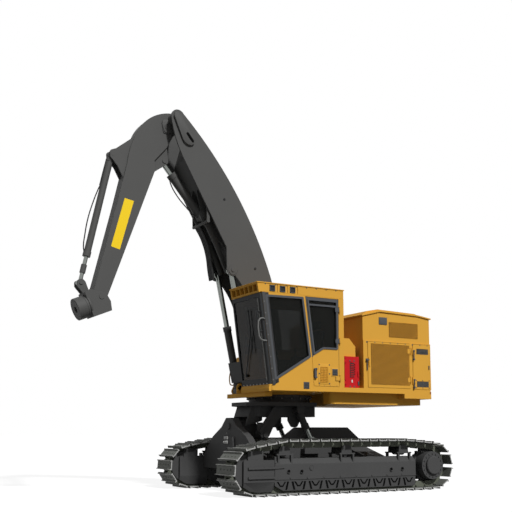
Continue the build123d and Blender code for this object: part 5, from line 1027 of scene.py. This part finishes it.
class HARVESTER_OT_fasteners(bpy.types.Operator):
    """Bolts, studs and eyes of the hood, roof, bearing and track frames; the eyes are near-black discs of painted
    shade
    """

    bl_idname = "harvester.fasteners"
    bl_label = "Fasteners"

    def execute(self, context):
        size = context.scene.harvester_sizes.bolt
        for side, y, way in (("left", HOUSE_SIDE, LEFT), ("right", -HOUSE_SIDE, RIGHT)):
            bolted("hood_bolts_" + side, row((-0.60, y, 2.772), (-2.08, y, 2.772), 9), way, size, "house")
        bolted("roof_bolts", row((0.10, HOUSE_SIDE, 3.690), (1.62, HOUSE_SIDE, 3.690), 8), LEFT, size * 0.8, "house")
        bolted("table_bolts", round_swing(24, 0, 0.602, 1.640), UP, 0.014, "table")
        studs = [start("uv_sphere", "rim_stud", segments=10, ring_count=6, radius=0.016, location=place)
                 for place in round_swing(20, 0.5, 0.618, 1.712)]
        group("rim_studs", studs, "house", "plate", 60)
        for side, way in (("left", 1), ("right", -1)):
            y = way * GUARD_FACE
            places = [(x, y, 0.300) for x in (1.214, 0.861, 0.509, 0.156, -0.196, -0.549, -0.901, -1.254)]
            bolted("guard_bolts_" + side, places, (0, way, 0), 0.014, "undercarriage", "carrier")
            # Near-black discs in the frames' eyes: painted shade.
            eyes = [disc("frame_eye", x, z, y + way * 0.010, way * 0.004, 0.026, 20) for x, z in FRAME_EYES]
            group("frame_eyes_" + side, eyes, "undercarriage", "hollow")
            lips = []
            for x, z in FRAME_EYES:
                lip = [(x + across, y + way * 0.016, z + up)
                       for across, up in ((-0.034, -0.008), (-0.020, -0.030), (0.008, -0.034), (0.032, -0.014))]
                lips.append(hose("frame_lip", lip, 0.007, 4))
            group("frame_lips_" + side, lips, "undercarriage", "carrier", 60)
            cover = disc("frame_cover_" + side, 0.78, 0.462, y, way * 0.010, 0.042, 24)
            finished(cover, "undercarriage", "carrier")
        return {"FINISHED"}


# ---- stage
class HARVESTER_OT_stage(bpy.types.Operator):
    """Pale floor, soft light and the camera"""

    bl_idname = "harvester.stage"
    bl_label = "Stage"

    def execute(self, context):
        floor = start("plane", "floor", size=FLOOR_SIZE, location=(0, 0, -0.001))
        pale = Finish("pale floor")
        matt = {"Base Color": FLOOR_SHADE, "Roughness": 1.0, "Specular IOR Level": 0.0}
        for name, value in matt.items():
            pale.put(pale.surface.inputs[name], value)
        glow = {"Emission Color": WHITE, "Emission Strength": FLOOR_GLOW}
        bright = pale.node("ShaderNodeBsdfPrincipled", inputs={**matt, **glow})
        pale.put(pale.output.inputs["Surface"], pale.split(pale.surface.outputs[0], bright))
        floor.data.materials.append(pale.material)

        context.scene.world = bpy.data.worlds.new("studio")
        context.scene.world.use_nodes = True
        sky = Nodes(context.scene.world.node_tree)
        sky.tree.nodes.clear()
        light = sky.node("ShaderNodeBackground", inputs={"Color": WHITE, "Strength": SKY_STRENGTH})
        bare = sky.node("ShaderNodeBackground", inputs={"Color": WHITE})
        sky.node("ShaderNodeOutputWorld", inputs={"Surface": sky.split(light, bare)})

        bpy.ops.object.light_add(type="SUN")
        sun = context.object
        sun.data.energy = SUN_STRENGTH
        sun.data.angle = SUN_WIDTH
        sun.matrix_world = facing(SUN_PLACE)

        bpy.ops.object.camera_add()
        camera = context.object
        level = math.cos(CAMERA_RISE)
        way = Vector((math.cos(CAMERA_TURN) * level, math.sin(CAMERA_TURN) * level, math.sin(CAMERA_RISE)))
        camera.matrix_world = Matrix.Translation(CAMERA_PLACE) @ way.to_track_quat("-Z", "Y").to_matrix().to_4x4()
        camera.data.lens = CAMERA_LENS
        camera.data.shift_y = CAMERA_SHIFT
        camera.data.clip_end = CAMERA_FAR
        context.scene.camera = camera
        context.scene.view_settings.view_transform = "Standard"
        return {"FINISHED"}


class HARVESTER_PT_panel(bpy.types.Panel):
    """Steps of the finish, in order"""

    bl_label = "Harvester"
    bl_idname = "HARVESTER_PT_panel"
    bl_space_type = "VIEW_3D"
    bl_region_type = "UI"
    bl_category = "Harvester"

    def draw(self, context):
        for step in STEPS:
            self.layout.operator(step.bl_idname)
        for settings in (context.scene.harvester_colours, context.scene.harvester_sizes):
            for name in settings.__annotations__:
                self.layout.prop(settings, name)


STEPS = (
    HARVESTER_OT_finishes,
    HARVESTER_OT_paint,
    HARVESTER_OT_tracks,
    HARVESTER_OT_screens,
    HARVESTER_OT_cab,
    HARVESTER_OT_seat,
    HARVESTER_OT_hood,
    HARVESTER_OT_arm,
    HARVESTER_OT_carrier,
    HARVESTER_OT_fasteners,
    HARVESTER_OT_stage,
)
CLASSES = (HarvesterColours, HarvesterSizes) + STEPS + (HARVESTER_PT_panel,)


def register():
    for part in CLASSES:
        bpy.utils.register_class(part)
    bpy.types.Scene.harvester_colours = bpy.props.PointerProperty(type=HarvesterColours)
    bpy.types.Scene.harvester_sizes = bpy.props.PointerProperty(type=HarvesterSizes)


def unregister():
    del bpy.types.Scene.harvester_sizes
    del bpy.types.Scene.harvester_colours
    for part in reversed(CLASSES):
        bpy.utils.unregister_class(part)


def main():
    register()
    for step in STEPS:
        family, name = step.bl_idname.split(".")
        getattr(getattr(bpy.ops, family), name)()


if __name__ == "__main__":
    main()
